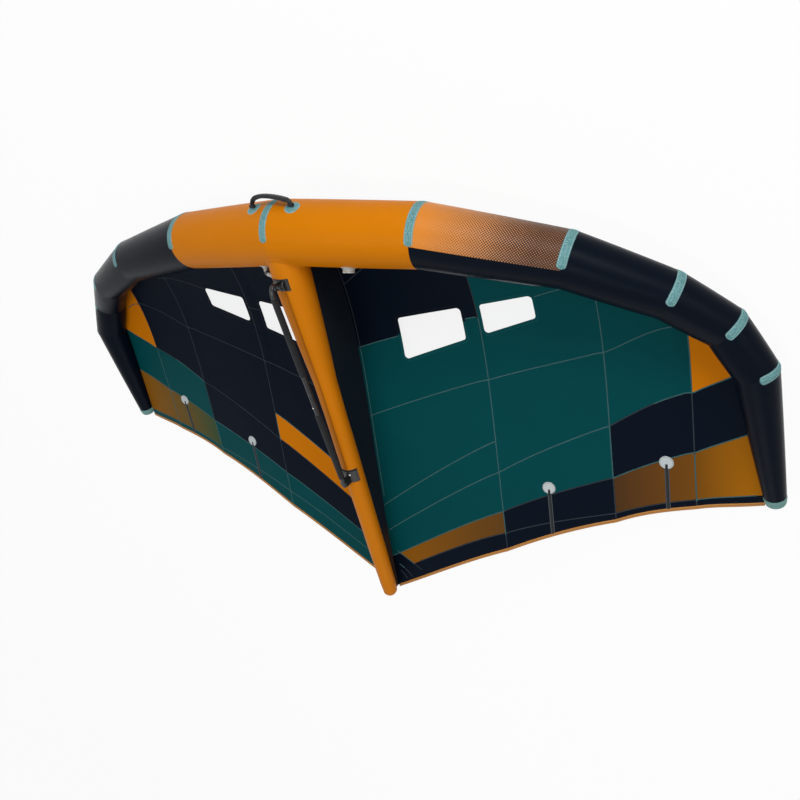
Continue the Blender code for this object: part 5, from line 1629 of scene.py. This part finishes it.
level_x = Vector((1.0, 0.0, 0.0))
turned(
    "valve_collar", valve_middle, valve_out, level_x,
    ((0.0196, 0.0034), (0.0212, 0.0040), (0.0214, 0.0086), (0.0208, 0.0094), (0.0196, 0.0097)),
    pale_rubber, "wing", "pale_rubber", sides=144, ribs=36, rib_depth=0.00035,
)
cap_low = 0.0123
turned(
    "valve_cap_rim", valve_middle, valve_out, level_x,
    (
        (0.0207, cap_low + 0.0008), (0.0216, cap_low + 0.0014), (0.0217, cap_low + 0.0046),
        (0.0211, cap_low + 0.0058), (0.0200, cap_low + 0.0066), (0.0180, cap_low + 0.0068),
        (0.0172, cap_low + 0.0061), (0.0060, cap_low + 0.0061), (0.0050, cap_low + 0.0068),
        (0.0001, cap_low + 0.0069),
    ),
    pale_rubber, "valve_cap", "pale_rubber", sides=96, ribs=24, rib_depth=0.0002,
)


# Hose. A short ribbed hose of pale rubber carries air from the tube's bladder to the strut's, with a
# moulded foot at each end and a small grey clip that can pinch it shut.
edge_tilt, root_tilt = math.radians(25), math.radians(18)
hose_out = Vector((0.0, -math.cos(edge_tilt), math.sin(edge_tilt)))
hose_in = Vector((-math.cos(root_tilt), 0.0, math.sin(root_tilt)))
hose_along = 0.106 / seam_span[1]
hose_axis = seam_axis[0].lerp(seam_axis[1], hose_along)
hose_axis.x = -hose_axis.x
hose_start = hose_axis + hose_out * (seam_radius[0] + (seam_radius[1] - seam_radius[0]) * hose_along - 0.012)
hose_end = Vector((0.0, wing_y - 0.146, strut_rise)) + hose_in * (strut_radius(0.146) - 0.012)


def hose_at(t):
    a, b, c, d = hose_start, hose_start + hose_out * 0.034, hose_end + hose_in * 0.038, hose_end
    return (1 - t) ** 3 * a + 3 * t * (1 - t) ** 2 * b + 3 * t * t * (1 - t) * c + t ** 3 * d


hose_rubber = moulded_finish("hose_rubber", (0.46, 0.46, 0.42), (0.36, 0.35, 0.31), 0.45)


hose_radius, hose_length, hose_rows, hose_sides = 0.0075, 0.09, 110, 32


def hose_ring(t, radius):
    way = (hose_at(min(t + 0.01, 1.0)) - hose_at(max(t - 0.01, 0.0))).normalized()
    level = upright.cross(way).normalized()
    other = way.cross(level)
    return [
        hose_at(t) + level * (radius * math.cos(turn)) + other * (radius * math.sin(turn))
        for turn in full_turn(hose_sides)
    ]


grid, places = [], []
for r in range(hose_rows + 1):
    t = r / hose_rows
    rib = 0.0005 * math.sin(2 * math.pi * t * 22) if 0.2 < t < 0.8 else 0.0
    grid.append(hose_ring(t, hose_radius + rib))
    places.append(round_places(hose_sides, hose_radius, t * hose_length))
made = skin("air_hose", grid, places, [hose_rubber], closed=True)
dress(made, "wing", "pale_rubber", "strut_hose")
foot_lift = 0.0118
turned(
    "hose_foot_tube", hose_start + hose_out * foot_lift, hose_out, level_x,
    (
        (0.0215, -0.0035), (0.0210, 0.0004), (0.0170, 0.0016),
        (0.0108, 0.0030), (0.0090, 0.0080), (0.0084, 0.0086),
    ),
    hose_rubber, "wing", "pale_rubber",
)
turned(
    "hose_foot_strut", hose_end + hose_in * foot_lift, hose_in, Vector((0.0, 1.0, 0.0)),
    (
        (0.0170, -0.0050), (0.0165, -0.0012), (0.0130, 0.0012),
        (0.0100, 0.0030), (0.0090, 0.0080), (0.0084, 0.0086),
    ),
    hose_rubber, "wing", "pale_rubber",
)
clip_plastic = moulded_finish("clip_plastic", (0.030, 0.032, 0.036), (0.06, 0.06, 0.065), 0.4)
grid, places = [], []
clip_way = (hose_at(0.56) - hose_at(0.44)).normalized()
for offset, radius in ((-0.0050, 0.0088), (-0.0046, 0.0096), (0.0046, 0.0096), (0.0050, 0.0088)):
    grid.append([p + clip_way * offset for p in hose_ring(0.5, radius)])
    places.append(round_places(hose_sides, 0.009, offset))
dress(skin("hose_clip", grid, places, [clip_plastic], closed=True), "wing", "black_plastic")


# Boom. Two black anodised tubes slide in one another and stand over the strut. The upper ends in a flat
# swan neck on a pin, foam grips cover both hands' places, and a sprung steel button sets the length.
boom_plastic = moulded_finish("boom_plastic", (0.0085, 0.009, 0.010), (0.022, 0.023, 0.025), 0.34)
boom_alloy = moulded_finish(
    "boom_alloy", (0.010, 0.0105, 0.012), (0.035, 0.035, 0.037), 0.27, grain=0.00001, metallic=0.2
)
bright_steel = moulded_finish(
    "bright_steel", (0.62, 0.62, 0.61), (0.45, 0.45, 0.44), 0.24, grain=0.00001, metallic=1.0
)
repaint(boom_alloy, "boom_upper_tube", "boom_lower_tube")
repaint(boom_plastic, "front_bracket", "rear_bracket")
repaint(bright_steel, "boom_button", "pivot_pin", "rear_bolt_left", "rear_bolt_right")
boom_start = Vector((0.0, wing_y - 0.178, strut_rise + 0.128))
boom_end = Vector((0.0, wing_y - 1.059, strut_rise + 0.076))
boom_way = (boom_end - boom_start).normalized()
boom_high = boom_way.cross(level_x)


def foam_finish():
    """Closed-cell foam with a fine diamond pressed into it and painted shade in its grooves, greyed where
    hands hold it.
    """
    made, tree, shader = new_finish(
        "grip_foam", Specular_IOR_Level=0.18, Sheen_Weight=0.04, Sheen_Roughness=0.5
    )
    place = place_on(tree)
    spread = add_node(tree, "ShaderNodeSeparateXYZ")
    tree.links.new(place, spread.inputs[0])
    waves = []
    for sign in ("ADD", "SUBTRACT"):
        slant = reckon(tree, sign, spread.outputs["X"], spread.outputs["Y"])
        cell = reckon(tree, "PINGPONG", reckon(tree, "DIVIDE", slant, 0.0052), 0.5)
        waves.append(ranged(tree, cell, 0.0, 0.12, 1.0, 0.0))
    grooves = reckon(tree, "MAXIMUM", *waves)
    cells = add_node(tree, "ShaderNodeTexVoronoi", {"Scale": 1400.0})
    soil = add_node(tree, "ShaderNodeTexNoise", {"Scale": 30.0, "Detail": 4.0})
    for texture in (cells, soil):
        tree.links.new(place, texture.inputs["Vector"])
    greyed = ranged(tree, soil.outputs["Fac"], 0.4, 0.7, 0.0, 0.6)
    foam = tinted(tree, greyed, (0.0085, 0.009, 0.0105), (0.022, 0.023, 0.025))
    # The pressed grooves are painted darker: painted shade in them.
    foam = tinted(tree, reckon(tree, "MULTIPLY", grooves, 0.7), foam, (0.003, 0.003, 0.004))
    tree.links.new(foam, shader.inputs["Base Color"])
    tree.links.new(ranged(tree, soil.outputs["Fac"], 0.3, 0.7, 0.55, 0.72), shader.inputs["Roughness"])
    pressed = reckon(tree, "MULTIPLY", grooves, -0.0004)
    raise_surface(tree, shader, pressed, reckon(tree, "MULTIPLY", cells.outputs["Distance"], 0.0001))
    return made


grip_foam = foam_finish()
grip_radius, grip_sides, grip_rows = 0.0125, 48, 90
grip_end = ((0.0, 0.0098), (0.0, 0.0112), (0.0006, 0.0120), (0.0022, grip_radius))
for node, body, first, last in (
    ("upper_grip", "boom_front", 0.012, 0.346),
    ("lower_grip", "boom_rear", 0.526, 0.850),
):
    grid, places = [], []
    straight = last - first - 2 * grip_end[-1][0]
    profile = [(first + reach, radius) for reach, radius in grip_end]
    for r in range(1, grip_rows):
        swelling = 0.0004 * math.sin(math.pi * r / grip_rows) ** 2
        profile.append((first + grip_end[-1][0] + straight * r / grip_rows, grip_radius + swelling))
    profile += [(last - reach, radius) for reach, radius in reversed(grip_end)]
    for along, radius in profile:
        middle = boom_start + boom_way * along
        grid.append([
            middle + level_x * (radius * math.cos(turn)) + boom_high * (radius * math.sin(turn))
            for turn in full_turn(grip_sides)
        ])
        places.append(round_places(grip_sides, 0.0124, along))
    made = skin(f"{node}_foam", grid, places, [grip_foam], closed=True, flip=True)
    dress(made, body, "black_foam", node)
for name, body, along, radius in (
    ("grip_ring_front", "boom_front", 0.349, 0.0105),
    ("grip_ring_tail", "boom_rear", 0.523, 0.0105),
    ("boom_joint_ring", "boom_rear", 0.4285, 0.0104),
):
    turned(
        name, boom_start + boom_way * along, boom_way, level_x,
        ((0.0094, -0.0028), (radius, -0.0024), (radius, 0.0024), (0.0094, 0.0028)),
        boom_plastic, body, "black_plastic",
    )
turned(
    "boom_tail_plug", boom_start + boom_way * 0.896, boom_way, level_x,
    ((0.0078, 0.0), (0.0076, 0.0016), (0.0062, 0.0030), (0.0001, 0.0034)),
    boom_plastic, "boom_rear", "black_plastic",
)
turned(
    "button_ring", boom_start + boom_way * 0.487 + boom_high * 0.0092, boom_high, level_x,
    ((0.0044, 0.0), (0.0060, 0.0005), (0.0062, 0.0010), (0.0058, 0.0013), (0.0044, 0.0014)),
    boom_plastic, "boom_rear", "black_plastic", sides=40,
)

# Bracket feet. Under each bracket a stitched pad of black webbing spreads its load on the strut's sleeve.
pad_cloth = sewn("bracket_pad", (0.010, 0.011, 0.013), 0.6, (0.05, 0.052, 0.055), 0.0215, specular=0.3)
for name, first, last, wrap in (("front", 0.138, 0.186, 28), ("rear", 1.012, 1.076, 67)):
    grid, places = [], []
    steps, hem = 24, 0.0015
    middle_back = (first + last) / 2
    for back in [first] + [first + hem + (last - first - 2 * hem) * i / 14 for i in range(15)] + [last]:
        edge_row = back in (first, last)
        row, marks_row = [], []
        for j in range(steps + 1):
            turn = math.radians(wrap) * (2 * j / steps - 1)
            lift = 0.0001 if edge_row or j in (0, steps) else 0.0011
            row.append(strut_point(back, turn, lift))
            marks_row.append((turn * strut_radius(back), back - middle_back))
        grid.append(row)
        places.append(marks_row)
    made = skin(f"bracket_pad_{name}", grid, places, [pad_cloth])
    dress(made, "wing", "black_plastic")


# Bracket cheeks. The front bracket's two moulded cheeks shield the pin's heads.
cheek_back, cheek_half, cheek_high = 0.162, 0.0195, 0.022
cheek_base = strut_rise + strut_radius(cheek_back) - 0.004
cheek_outline = [(-0.019, 0.0), (-cheek_half, 0.007)]
for i in range(17):
    turn = math.pi * i / 16
    cheek_outline.append((-cheek_half * math.cos(turn), 0.0115 + 0.0095 * math.sin(turn)))
cheek_outline += [(cheek_half, 0.007), (0.019, 0.0)]
for end, end_name in end_names.items():
    grid, places = [], []
    for x, shrink in ((0.0183, 0.0009), (0.0186, 0.0), (0.0222, 0.0), (0.0232, 0.0022)):
        grid.append([
            Vector((
                end * x,
                wing_y - cheek_back + y * (1 - shrink / cheek_half),
                cheek_base + z * (1 - shrink / cheek_high),
            ))
            for y, z in cheek_outline
        ])
        places.append([(y, x) for y, _ in cheek_outline])
    made = skin(f"bracket_cheek_{end_name}", grid, places, [boom_plastic], flip=end > 0)
    dress(made, "wing", "black_plastic")
